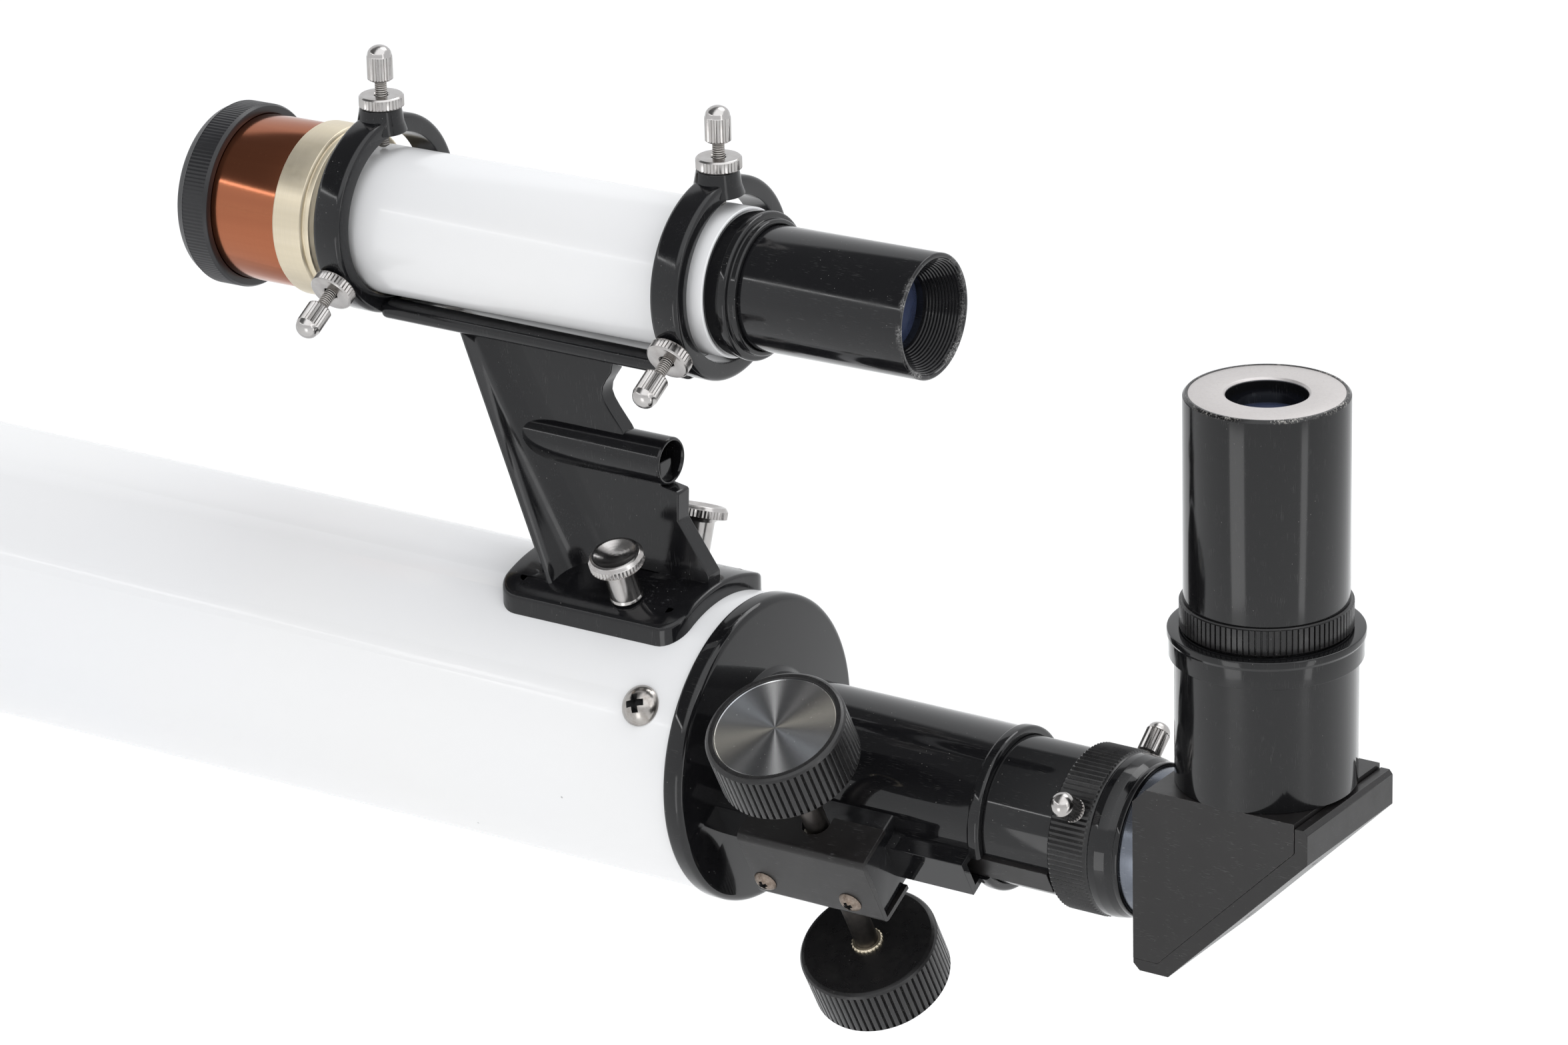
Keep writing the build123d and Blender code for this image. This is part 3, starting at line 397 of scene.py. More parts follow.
class Look:
    """A material built up step by step on one Principled shader. Sizes are in mm."""

    def __init__(self, name, colour, rough, metal=0.0, spec=0.5, coat=0.0, ior=1.5):
        self.mat = bpy.data.materials.new(name)
        self.mat.use_nodes = True
        self.mat.diffuse_color = (*colour, 1)
        self.tree = self.mat.node_tree
        self.shader = self.tree.nodes["Principled BSDF"]
        self.setting("Metallic", metal).setting("Specular IOR Level", spec).setting("IOR", ior)
        self.setting("Coat Weight", coat).setting("Coat Roughness", 0.05)
        self.coords = self.add("ShaderNodeTexCoord").outputs["Object"]
        self.base = colour
        self.colour = (*colour, 1)
        self.rough = rough
        self.height = None

    def setting(self, name, value):
        put(self.shader.inputs[name], value)
        return self

    def add(self, kind, inputs=(), **settings):
        return add_node(self.tree, kind, inputs, **settings)

    def scaled(self, factors):
        return self.add("ShaderNodeMapping", {"Vector": self.coords, "Scale": factors}).outputs[0]

    def noise(self, size, detail=4, rough=0.55, stretch=(1, 1, 1), seed=0.0):
        """Noise whose features are about size across; stretch lengthens them along an axis."""
        k = 1.0 / (size * MM)
        inputs = {"Vector": self.scaled(tuple(k / s for s in stretch)), "W": seed, "Scale": 1.0,
            "Detail": detail, "Roughness": rough}
        return self.add("ShaderNodeTexNoise", inputs, noise_dimensions="4D").outputs["Fac"]

    def cells(self, size, scatter):
        """Distance to the nearest of points about size apart."""
        inputs = {"Vector": self.scaled((1 / (size * MM),) * 3), "Scale": 1.0,
            "Randomness": scatter}
        return self.add("ShaderNodeTexVoronoi", inputs).outputs["Distance"]

    def ramp(self, value, low, high, out_low=0.0, out_high=1.0):
        inputs = {"Value": value, "From Min": low, "From Max": high, "To Min": out_low,
            "To Max": out_high}
        return self.add("ShaderNodeMapRange", inputs, clamp=True).outputs["Result"]

    def maths(self, op, *values):
        return self.add("ShaderNodeMath", enumerate(values), operation=op).outputs[0]

    def times(self, a, b):
        return self.maths("MULTIPLY", a, b)

    def tint(self, mask, colour, amount=1.0):
        """Mix a colour over the base where the mask is 1."""
        inputs = {"Factor": self.times(mask, amount), "A": self.colour, "B": (*colour, 1)}
        self.colour = self.add("ShaderNodeMix", inputs, data_type="RGBA").outputs["Result"]
        return self

    def rougher(self, mask, change):
        """Add change to the roughness where the mask is 1."""
        self.rough = self.maths("ADD", self.times(mask, change), self.rough)
        return self

    def raised(self, value, depth):
        """Add a height where the value is 1."""
        value = self.times(value, depth)
        self.height = value if self.height is None else self.maths("ADD", self.height, value)
        return self

    def patches(self, size, detail, seed, low, high, rough=0.55):
        """Noise, cut to patches where it passes from low to high."""
        value = self.noise(size, detail, rough, seed=seed)
        return value if low is None else self.ramp(value, low, high)

    def stain(self, size, detail, seed, low, high, colour, amount, rough=0.55):
        """Another colour in patches."""
        return self.tint(self.patches(size, detail, seed, low, high, rough), colour, amount)

    def uneven(self, size, detail, seed, change, low=None, high=None, rough=0.55):
        """Roughness that varies over the surface."""
        return self.rougher(self.patches(size, detail, seed, low, high, rough), change)

    def bumpy(self, size, detail, seed, depth, rough=0.55):
        """Grain or orange peel."""
        return self.raised(self.noise(size, detail, rough, seed=seed), depth)

    def painted_reflection_bands(self, size, stretch, seed, low, high, colour, amount):
        """Painted reflection: another colour in long bands along local X, as streaks of reflected light along a
        turned piece.
        """
        reflection_streaks = self.noise(size, 3, 0.6, (stretch, 1, 1), seed)
        return self.tint(self.ramp(reflection_streaks, low, high), colour, amount)

    def specks(self, size, share, colour, rough, scatter=1.0, amount=1.0):
        """Small round specks: dust, chips or pinholes."""
        spot = self.ramp(self.cells(size, scatter), 0.10 * share, 0.16 * share, 1.0, 0.0)
        some = self.ramp(self.noise(size * 6, 2, seed=scatter * 7), 0.5, 0.56)
        mask = self.times(spot, some)
        return self.tint(mask, colour, amount).rougher(mask, rough)

    def scratches(self, size, stretch, colour, amount, rough):
        """Fine hairlines: noise stretched along one axis and thresholded."""
        lines = self.ramp(self.noise(size, 2, 0.4, stretch, 3.0), 0.62, 0.66)
        mask = self.times(lines, self.ramp(self.noise(size * 30, 2, seed=5.0), 0.48, 0.6))
        return self.tint(mask, colour, amount).rougher(mask, rough)

    def worn_edges(self, width, colour, amount, broken):
        """Wear along convex edges, broken up by noise."""
        bevel = self.add("ShaderNodeBevel", {"Radius": width * MM}, samples=4)
        flat = self.add("ShaderNodeNewGeometry")
        normals = {0: bevel.outputs["Normal"], 1: flat.outputs["Normal"]}
        dot = self.add("ShaderNodeVectorMath", normals, operation="DOT_PRODUCT")
        edge = self.ramp(dot.outputs["Value"], 0.80, 0.97, 1.0, 0.0)
        patch = self.ramp(self.noise(broken, 5, 0.7, seed=9), 0.52, 0.62)
        return self.tint(self.times(edge, patch), colour, amount)

    def turned_lines(self, pitch, amount, depth, rough=0.0):
        """Fine rings about local X, as a lathe leaves."""
        mask = self.ramp(self.noise(pitch, 2, 0.6, (1, 4000, 4000), seed=4), 0.35, 0.65)
        self.tint(mask, tuple(c * (1 - amount) for c in self.base)).raised(mask, depth)
        return self.rougher(mask, rough) if rough else self

    def along_x(self):
        """Local X in metres."""
        return self.add("ShaderNodeSeparateXYZ", {0: self.coords}).outputs[0]

    def threaded(self, pitch, depth, colour, amount):
        """Thread grooves about local X, darker at the bottom."""
        groove = self.maths("SINE", self.times(self.along_x(), 2 * PI / (pitch * MM)))
        return self.raised(groove, depth).tint(self.ramp(groove, -1, 0.2, 1, 0), colour, amount)

    def chipped_rim(self, rim, chip, zone, colour, rough):
        """Chips along a rim that runs from rim[0] to rim[1] on local X, in zones round it."""
        near_rim = self.ramp(self.along_x(), rim[0] * MM, rim[1] * MM)
        chips = self.ramp(self.noise(chip[0], 6, chip[1], seed=5), chip[2], chip[3])
        zones = self.ramp(self.noise(zone[0], 2, seed=6), zone[1], zone[2])
        mask = self.times(self.times(near_rim, chips), zones)
        return self.tint(mask, colour, 0.8).rougher(mask, rough)

    def aniso(self, amount):
        """Highlights drawn out across the turning marks of a turned piece."""
        tangent = self.add("ShaderNodeTangent", direction_type="UV_MAP", uv_map="UVMap")
        self.setting("Anisotropic", amount).setting("Anisotropic Rotation", 0.25)
        return self.setting("Tangent", tangent.outputs["Tangent"])

    def done(self):
        self.setting("Base Color", self.colour)
        self.setting("Roughness", self.maths("MAXIMUM", self.rough, 0.02))
        if self.height is not None:
            inputs = {"Strength": 1.0, "Distance": MM, "Height": self.height}
            self.setting("Normal", self.add("ShaderNodeBump", inputs).outputs["Normal"])
        return self.mat


def make_looks():
    looks = {
        "enamel": Look("enamel", (0.735, 0.74, 0.755), 0.22, coat=0.25)
        .stain(110, 2, 1, 0.3, 0.75, (0.75, 0.74, 0.72), 0.6)
        .uneven(26, 2, 2, 0.04)
        .bumpy(2.2, 2, 3, 0.0012)
        .specks(13, 0.16, (0.12, 0.12, 0.12), 0.2, 0.9),

        "gloss": Look("gloss_black", (0.0065, 0.0065, 0.0072), 0.055, spec=0.42)
        .uneven(14, 5, 2, 0.10, 0.5, 0.78, 0.6)
        .bumpy(9, 2, 5, 0.004)
        .specks(1.5, 0.42, (0.34, 0.33, 0.31), 0.4, 1.0, 0.6)
        .scratches(0.10, (26, 1, 1), (0.055, 0.054, 0.052), 0.5, 0.12),

        "moulded": Look("moulded_black", (0.0065, 0.0065, 0.0074), 0.10, spec=0.42)
        .uneven(11, 5, 8, 0.14, 0.45, 0.8, 0.6)
        .bumpy(10, 2, 6, 0.03)
        .specks(1.7, 0.42, (0.30, 0.29, 0.28), 0.4, 1.0, 0.5)
        .scratches(0.12, (1, 1, 24), (0.06, 0.06, 0.06), 0.5, 0.15)
        .worn_edges(0.35, (0.10, 0.10, 0.105), 0.35, 1.4),

        "satin": Look("satin_black", (0.0090, 0.0082, 0.0083), 0.28, spec=0.38)
        .stain(14, 5, 1, 0.42, 0.75, (0.0145, 0.0132, 0.0132), 0.8)
        .uneven(6, 5, 2, 0.12, 0.35, 0.7, 0.7)
        .bumpy(0.22, 3, 3, 0.0015, 0.7)
        .specks(1.4, 0.4, (0.30, 0.29, 0.28), 0.3, 1.0, 0.5)
        .scratches(0.12, (16, 2, 1), (0.12, 0.12, 0.12), 0.35, 0.1)
        .worn_edges(0.25, (0.28, 0.26, 0.24), 0.5, 0.7),

        "ribbed": Look("ribbed_black", (0.0095, 0.0092, 0.0096), 0.24, spec=0.45)
        .stain(3, 5, 1, 0.5, 0.85, (0.032, 0.030, 0.028), 0.5, 0.7)
        .uneven(2, 5, 2, 0.16, 0.35, 0.7, 0.7)
        .bumpy(0.3, 3, 4, 0.0012)
        .specks(1.1, 0.5, (0.32, 0.31, 0.3), 0.3, 1.0, 0.45)
        .worn_edges(0.2, (0.13, 0.125, 0.12), 0.45, 0.6),

        "cap": Look("cap_black", (0.011, 0.011, 0.0125), 0.30, spec=0.45)
        .stain(8, 5, 1, 0.45, 0.85, (0.024, 0.024, 0.027), 0.6)
        .uneven(3, 5, 2, 0.12)
        .bumpy(0.35, 3, 2, 0.002)
        .worn_edges(0.4, (0.12, 0.12, 0.13), 0.4, 1.0),

        "nickel": Look("nickel", (0.47, 0.455, 0.445), 0.16, metal=1.0)
        .stain(3.2, 5, 1, 0.48, 0.78, (0.33, 0.30, 0.28), 0.6, 0.6)
        .uneven(2.2, 4, 2, 0.16, 0.45, 0.8, 0.6)
        .bumpy(0.9, 2, 3, 0.0012)
        .specks(1.0, 0.5, (0.13, 0.10, 0.08), 0.3, 1.0, 0.6),

        "chrome": Look("satin_chrome", (0.16, 0.175, 0.205), 0.2, metal=1.0)
        .stain(3, 5, 1, 0.45, 0.75, (0.11, 0.115, 0.135), 0.7)
        .turned_lines(0.2, 0.15, 0.0008, 0.06)
        .scratches(0.1, (16, 1, 1), (0.5, 0.5, 0.5), 0.4, 0.1),

        "thread": Look("nickel_thread", (0.46, 0.44, 0.42), 0.26, metal=1.0)
        .threaded(0.5, 0.07, (0.15, 0.135, 0.12), 0.7)
        .uneven(0.7, 4, 1, 0.2),

        "rusty": Look("screw_steel", (0.27, 0.225, 0.19), 0.28, metal=1.0)
        .stain(1.2, 6, 1, 0.42, 0.66, (0.085, 0.055, 0.038), 0.8, 0.7)
        .uneven(0.8, 5, 2, 0.3)
        .bumpy(0.35, 4, 3, 0.010),

        "bright": Look("bright_steel", (0.40, 0.38, 0.36), 0.14, metal=1.0)
        .stain(1.8, 5, 1, 0.48, 0.74, (0.22, 0.19, 0.165), 0.7, 0.6)
        .uneven(0.9, 5, 2, 0.16)
        .bumpy(0.6, 3, 3, 0.003),

        "shaft": Look("dark_steel", (0.10, 0.092, 0.088), 0.26, metal=1.0)
        .stain(2, 5, 1, 0.4, 0.7, (0.18, 0.16, 0.14), 0.7)
        .uneven(1, 5, 2, 0.2)
        .turned_lines(0.15, 0.2, 0.002),

        "copper": Look("anodised_copper", (0.415, 0.147, 0.076), 0.13, metal=1.0)
        # painted reflection: darker streaks along the cell's axis
        .painted_reflection_bands(2.2, 400, 11, 0.40, 0.65, (0.37, 0.125, 0.066), 0.8)
        .turned_lines(0.22, 0.12, 0.0008, 0.05)
        .specks(0.9, 0.5, (0.20, 0.07, 0.04), 0.15, 1.0, 0.5)
        .aniso(0.45),

        "brass": Look("brass", (0.76, 0.68, 0.53), 0.32, metal=1.0)
        # painted reflection: darker streaks along the ring's axis
        .painted_reflection_bands(2.4, 300, 21, 0.40, 0.62, (0.68, 0.60, 0.44), 0.8)
        .turned_lines(0.2, 0.12, 0.0010, 0.06)
        .uneven(2, 4, 2, 0.1)
        .aniso(0.5),

        "spun": spun_look(),

        "plate": Look("grey_plate", (0.56, 0.535, 0.525), 0.34, metal=0.7)
        .stain(0.7, 6, 1, 0.45, 0.7, (0.49, 0.46, 0.45), 0.8, 0.8)
        .uneven(0.6, 5, 2, 0.15)
        .bumpy(0.15, 3, 2, 0.002)
        .specks(0.8, 0.6, (0.1, 0.1, 0.1), 0.2, 1.0, 0.6),

        # matt black parts; on the screws' cross recesses it is painted shade
        "inner": Look("matt_black", (0.006, 0.006, 0.006), 0.6, spec=0.35)
        .uneven(2, 4, 1, 0.15)
        .bumpy(0.4, 4, 3, 0.006)
        .stain(5, 4, 2, 0.5, 0.8, (0.014, 0.014, 0.015), 0.8),

        "nylon": Look("nylon", (0.74, 0.70, 0.6), 0.42)
        .stain(3, 4, 1, 0.4, 0.8, (0.5, 0.45, 0.36), 0.5)
        .uneven(1, 4, 2, 0.15),

        "lens": Look("lens_glass", (0.035, 0.045, 0.085), 0.03, spec=0.9)
        .setting("Specular Tint", (0.45, 0.62, 1.0, 1))
        .uneven(4, 4, 1, 0.03, 0.5, 0.8)
        .stain(8, 3, 2, 0.4, 0.7, (0.050, 0.065, 0.13), 0.8),

        "prism": Look("prism_glass", (0.93, 0.96, 0.95), 0.02, ior=1.52)
        .setting("Transmission Weight", 1.0)
        .uneven(4, 4, 1, 0.04, 0.5, 0.8)
        .stain(6, 3, 2, None, None, (0.88, 0.92, 0.91), 0.6),

        "eyepiece": Look("eyepiece_black", (0.0055, 0.0055, 0.006), 0.10, spec=0.42)
        .uneven(16, 5, 2, 0.06, 0.5, 0.8, 0.6)
        .specks(1.7, 0.35, (0.30, 0.29, 0.28), 0.4, 1.0, 0.5)
        .scratches(0.10, (24, 1, 1), (0.06, 0.06, 0.06), 0.4, 0.1)
        .chipped_rim((104.0, 104.7), (0.5, 0.75, 0.52, 0.58), (9, 0.42, 0.56),
                     (0.5, 0.48, 0.45), 0.3),

        "scuffed": Look("scuffed_black", (0.0072, 0.0072, 0.0082), 0.085, spec=0.42)
        .uneven(9, 5, 2, 0.12, 0.45, 0.75, 0.6)
        .specks(1.4, 0.45, (0.32, 0.31, 0.30), 0.4, 1.0, 0.5)
        .scratches(0.10, (22, 1, 1), (0.07, 0.07, 0.07), 0.5, 0.12)
        .chipped_rim((43.2, 44.2), (0.45, 0.8, 0.47, 0.56), (8, 0.46, 0.60),
                     (0.34, 0.335, 0.33), 0.35),
    }
    return {name: made.done() for name, made in looks.items()}


# Painted highlights on the knob discs, a fan of streaks that turns with the knob: place in turns, sharpness,
# colour, amount
PAINTED_HIGHLIGHT_FAN = ((0.149, 12, (0.74, 0.71, 0.64), 0.95),
       (0.915, 90, (1.0, 1.0, 1.0), 0.95),
       (0.806, 30, (0.50, 0.52, 0.55), 0.85),
       (0.030, 60, (0.46, 0.46, 0.46), 0.8),
       (0.250, 70, (0.44, 0.45, 0.46), 0.7))


def spun_look():
    """Face turned with fine rings, and a painted highlight: a soft fan of paired streaks runs out from its centre.
    """
    spun = Look("spun_aluminium", (0.185, 0.187, 0.192), 0.22, metal=1.0)
    uv = spun.add("ShaderNodeUVMap", uv_map="UVMap").outputs["UV"]
    around = spun.add("ShaderNodeSeparateXYZ", {0: uv}).outputs[0]
    # each pair of wedges is a painted highlight in the base colour
    for turn, power, colour, amount in PAINTED_HIGHLIGHT_FAN:
        angle = spun.times(spun.maths("SUBTRACT", around, turn), 2 * PI)
        highlight_wedge = spun.maths("POWER", spun.maths("ABSOLUTE", spun.maths("COSINE", angle)), power)
        spun.tint(highlight_wedge, colour, amount)
    kind = "ShaderNodeVectorMath"
    across = spun.add(kind, {0: spun.coords, 1: (0, 1, 1)}, operation="MULTIPLY").outputs[0]
    radius = spun.add(kind, {0: across}, operation="LENGTH").outputs["Value"]
    inputs = {"W": radius, "Scale": 1 / (0.14 * MM), "Detail": 3}
    rings = spun.add("ShaderNodeTexNoise", inputs, noise_dimensions="1D").outputs["Fac"]
    spun.tint(spun.ramp(rings, 0.35, 0.75), (0.12, 0.12, 0.12), 0.10).rougher(rings, 0.03)
    return spun.specks(1.6, 0.5, (0.4, 0.38, 0.36), 0.3, 1.0, 0.6).aniso(0.7)


look = make_looks()


# ---- main tube
def build_tube():
    a, b = ((p.x - FLANGE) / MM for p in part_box("main_tube"))
    tube = lathe("main_tube_shell", ((a, 32), (a, TUBE_R, 0.1), (b, TUBE_R, 0.1), (b, 32)), TUBE,
        look["enamel"], 256, 0)
    holes = [rod_tool(25, 40, 2.0, radial(SCREW_X, angle)) for angle in SCREW_ANGLES]
    holes += [rod_tool(25, 40, 2.1, radial(STUD_X, angle)) for angle in STUD_ANGLES.values()]
    cut(tube, *holes)
    stand_for(tube, "main_tube")
    a, b = ((p.x - FLANGE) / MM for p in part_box("dew_shield"))
    turned("dew_shield", TUBE, "gloss", ((a, 34.29, 0.4), (a, 36.5, 0.8), (b, 36.5, 0.5),
        (b, 34.29, 0.2)), 224)
    turned("objective_cell", TUBE, "gloss", ((-506, 30), (-506, 32), (-520, 32), (-520, 35.6, 0.6),
        (-524, 35.6, 0.6), (-524, 34.2), (-546, 34.2, 0.4), (-546, 30.5, 0.3), (-528, 30.5),
        (-528, 28.5), (-525, 28.5), (-525, 30)), 224)


# ---- focuser
def phillips(name, place, head_r, height, shank, material):
    """Round head with a pressed cross recess, whose faces are painted matt black as painted shade."""
    top = []
    ball = (head_r ** 2 + height ** 2) / (2 * height)
    for k in range(7):
        r = head_r * (1 - k / 6)
        top.append((height - ball + sqrt(ball * ball - r * r), r))
    screw = lathe(name, ((-shank, 0), (-shank, head_r * 0.45), (0, head_r * 0.45),
        (0, head_r, 0.12), *top[1:]), place, material, 64, 0)
    tools = []
    for turn in (0, 90):
        w, h = head_r * 0.16, head_r * 0.60
        depth = height * 0.30
        verts = []
        for x, k in ((depth, 0.35), (height + 0.5, 1.0)):
            for sy, sz in ((-1, -1), (1, -1), (1, 1), (-1, 1)):
                verts.append((x * MM, sy * h * k * MM, sz * w * MM))
        faces = [(0, 1, 2, 3), (7, 6, 5, 4), (0, 4, 5, 1), (1, 5, 6, 2), (2, 6, 7, 3), (3, 7, 4, 0)]
        tools.append(new_object("slot", verts, faces, place @ rx(turn + 20), plain_tool))
    cut(screw, *tools)
    # faces inside the cross recess take the matt black: painted shade in the recess
    repaint(screw, material, look["inner"])
    for p in screw.data.polygons:
        x, y, z = p.center / MM
        r = hypot(y, z)
        in_shaded_recess = 0 < x < height - ball + sqrt(ball * ball - r * r) - 0.06 and r < 0.7 * head_r
        p.material_index = 1 if in_shaded_recess else 0
    return screw


def build_focuser():
    flange = lathe("focuser_housing_shell", ((-22, 29.5), (-22, 31.95, 0.3), (-LIP, 31.95),
        (-LIP, 34, 1.0), (0, 34, 1.6), (0, 18.3, 0.9), (0.9, 17.2, 0.5), (61.3, 17.2, 0.4),
        (61.6, 17.9, 0.5), (64.2, 17.9, 0.9), (64.2, 16.05, 0.3), (-14, 16.05), (-14, 18.5),
        (-3.2, 18.5), (-3.2, 29.5)), ROLLED, look["gloss"], 256, 0.2, 4)
    cut(flange, box_tool((-30, 70), (-RACK_HALF, RACK_HALF), (RACK_FLOOR, -12), ROLLED))
    shell = joined(flange, rack_channel(), pinion_block())
    shell.data.transform(rx(ROLL))
    shell.matrix_world = TUBE
    stand_for(shell, "focuser_housing")
    for i, angle in enumerate(SCREW_ANGLES):
        place = radial(SCREW_X, angle) @ at(TUBE_R)
        screw = phillips(f"tube_screw_{i}", place, 4.6, 3.0, 3.5, look["bright"])
        stand_for(screw, "focuser_screws")
    for i, x in enumerate((14.9, 36.4)):
        place = ROLLED @ at(x, 4.6, -30.3) @ ry(90)
        screw = phillips(f"bracket_screw_{i}", place, 2.8, 1.5, 6.0, look["rusty"])
        stand_for(screw, "pinion_bracket_screws")
    from_cad("pinion_bracket", look["satin"], 0.22)


def rack_channel():
    """A U section swept along X, open at both ends, with bevelled edges."""
    outer = ((-4.9, -12), (-4.9, -20.9), (-4.8, -21), (4.8, -21), (4.9, -20.9), (4.9, -12))
    inner = ((RACK_HALF, -12), (RACK_HALF, RACK_FLOOR), (-RACK_HALF, RACK_FLOOR), (-RACK_HALF, -12))
    section = outer + inner
    verts = [(x * MM, y * MM, z * MM) for x in (-1.0, 62.0) for y, z in section]
    return bevelled(new_object("channel", verts, swept(len(section)), ROLLED, look["gloss"]), 0.3)


def pinion_block():
    """Pinion block with its pocket and shaft seats, open below."""
    corners = ((12.5, -10), (12.5, -29.0), (43.0, -29.0), (43.0, -10))
    obj = bevelled(prism("block", corners, 8.4, ROLLED, look["moulded"]), 0.5)
    bpy.context.view_layer.objects.active = obj
    bpy.ops.object.modifier_apply(modifier="bevel")
    seat = rod_tool(-12, 12, SEAT_R, SHAFT, 48)
    slot = box_tool((GEAR_X - SEAT_R, GEAR_X + SEAT_R), (-12, 12), PINION_LOW, ROLLED)
    pocket = rod_tool(-GEAR_HALF, GEAR_HALF, GEAR_R, SHAFT, 48)
    below = box_tool((GEAR_X - GEAR_R, GEAR_X + GEAR_R), (-GEAR_HALF, GEAR_HALF), PINION_LOW,
        ROLLED)
    way = box_tool((0, 70), (-RACK_HALF, RACK_HALF), (RACK_FLOOR, -5), ROLLED)
    bore = rod_tool(0, 60, 16.3, ROLLED, 96)
    return cut(obj, seat, slot, pocket, below, way, bore)


def knob(name, place, disc):
    """Fluted knob; local X = 0 is its outer face, and its back is at 12.6."""
    grip = Flute(0.8, 11.8, 64, 0.55, "groove", 14.6, 10)
    corners = ((0.5, 0), (0.5, 13.32, 0.05), (0.0, 13.45, 0.1), (0.0, 14.4, 0.3),
        (0.35, 14.95, 0.2), (0.8, 15.35, 0.12), (11.8, 15.4, 0.12), (12.3, 15.0, 0.2),
        (12.6, 14.2, 0.3), (12.6, 0))
    obj = lathe(name, corners, place, look["ribbed"], fillet=0.1, closed=False, flute=grip)
    face = lathe(disc, ((0.46, 0), (0.46, 0.5, 0.1), (0.44, 13.1, 0.08), (0.30, 13.33, 0.05),
        (0.52, 13.34), (0.52, 0)), place, look["spun"], 192, 0.05, closed=False)
    return obj, face


def build_shaft():
    near = SHAFT @ at(-41.2)
    far = SHAFT @ at(43.0) @ rz(180)
    for side, place in (("near", near), ("far", far)):
        obj, face = knob(f"focus_knob_{side}_shell", place, f"knob_disc_{side}")
        stand_for(obj, f"focus_knob_{side}")
        stand_for(face, "knob_discs")
        teeth = Flute(12.6, 13.5, 22, 0.25, "knurl", 3.3, 8)
        turned("knob_washers", place, "brass", ((12.6, 2.6), (12.62, 3.6), (13.1, 3.55),
            (13.45, 3.2), (13.45, 2.6)), fillet=0.05, flute=teeth, name=f"knob_washer_{side}")
    turned("pinion_shaft", SHAFT, "shaft", ((-37.2, 0), (-37.2, 2.6, 0.2), (39, 2.6, 0.2), (39, 0)),
        64, closed=False, name="pinion_shaft_bar")


def build_drawtube():
    tube = lathe("drawtube_shell", ((-50, 15.2), (-50, 16.0, 0.1), (83.4, 16.0, 0.1), (83.4, 15.2)),
        TUBE, look["gloss"], 224)
    cut(tube, box_tool((-38, 80), (-3.0, 3.0), (-20, -10), ROLLED))
    stand_for(tube, "drawtube")
    from_cad("focus_rack", look["satin"], 0.08, 1)
    knurl = Flute(81.2, 89.6, 96, 0.28, "knurl", 17.3, 6)
    collar = lathe("adapter_collar_shell", ((80.9, 16.0), (80.9, 17.4, 0.15), (81.25, 17.9, 0.1),
        (89.55, 17.9, 0.1), (89.9, 17.45, 0.1), (90.3, 17.25, 0.2), (90.7, 17.5, 0.3),
        (92.2, 17.5, 1.2), (94.4, 17.1, 1.2), (95.6, 16.55, 0.3), (95.9, 16.35, 0.2),
        (96.1, 16.7, 0.2), (97.3, 16.7, 0.3), (97.3, SOCKET_R, 0.1), (83.5, SOCKET_R),
        (83.5, 16.0)), TUBE, look["ribbed"], fillet=0.1, flute=knurl)
    collar.data.materials.append(look["gloss"])
    for p in collar.data.polygons:
        if p.center.x > 90.1 * MM:
            p.material_index = 1
    stand_for(collar, "adapter_collar")
    for side in ("near", "far"):
        joint = joints[f"adapter_thumbscrew_{side}_turn"]
        place = along((joint["pos_m"][0], 0, 0), joint["axis"], Vector((1, 0, 0)))
        build_thumbscrew(f"adapter_thumbscrew_{side}", place, 15.925, 18.9, 2.65, ADAPTER_HEAD, 1.5)


def build_thumbscrew(node, place, tip, base, head_r, head, shank_r):
    """Knurled thumbscrew with a domed end and a threaded shank, along local X."""
    dome = 0.75 * head_r
    straight = head - dome
    ball = []
    for k in range(8):
        a = PI / 2 * k / 8
        ball.append((base + straight + dome * sin(a), (head_r - 0.15) * cos(a)))
    knurl = Flute(base + 0.3, base + straight - 0.3, 24, 0.24, "knurl", head_r - 0.1, 6)
    corners = ((tip, 0), (tip, shank_r * 0.45), (tip + 0.5, shank_r, 0.1), (base, shank_r),
        (base, head_r - 0.35, 0.1), (base + 0.3, head_r, 0.05), (base + straight - 0.3, head_r,
        0.05), (base + straight, head_r - 0.15), *ball[1:], (base + head - 0.002, 0))
    obj = lathe(node + "_shell", corners, place, look["nickel"], fillet=0.0, closed=False,
        flute=knurl)
    obj.data.materials.append(look["thread"])
    for p in obj.data.polygons:
        if p.center.x < (base - 0.02) * MM:
            p.material_index = 1
    return stand_for(obj, node)


# ---- diagonal and eyepiece
def build_diagonal():
    turned("diagonal_nosepiece", TUBE, "chrome", ((84, 14.3), (84, NOSE_R, 0.4), (104.5, NOSE_R),
        (104.5, 14.3)), 160)
    from_cad("diagonal_body", look["satin"], 0.18)
    from_cad("diagonal_cover", look["satin"], 0.18)
    turned("diagonal_sleeve", UPRIGHT, "eyepiece", ((16.5, 14.3), (16.5, 15.6), (20.2, 15.6),
        (20.2, 18.9, 0.15), (48.0, 18.9, 0.1), (48.0, 20.0, 0.15), (52.1, 20.05, 0.2),
        (52.7, 20.4, 0.2), (54.1, 20.4, 0.25), (54.1, SOCKET_R, 0.3), (22.5, SOCKET_R),
        (22.5, 14.3)), 224)
    screws = from_cad("diagonal_cover_screws", look["satin"])
    out = Vector((1, 0, -1)).normalized()
    face = max(v.co.dot(out) for v in screws.data.vertices) - COVER_HEAD * MM
    for v in screws.data.vertices:
        proud = v.co.dot(out) - face
        if proud > 0:
            v.co -= out * proud * HEAD_SUNK


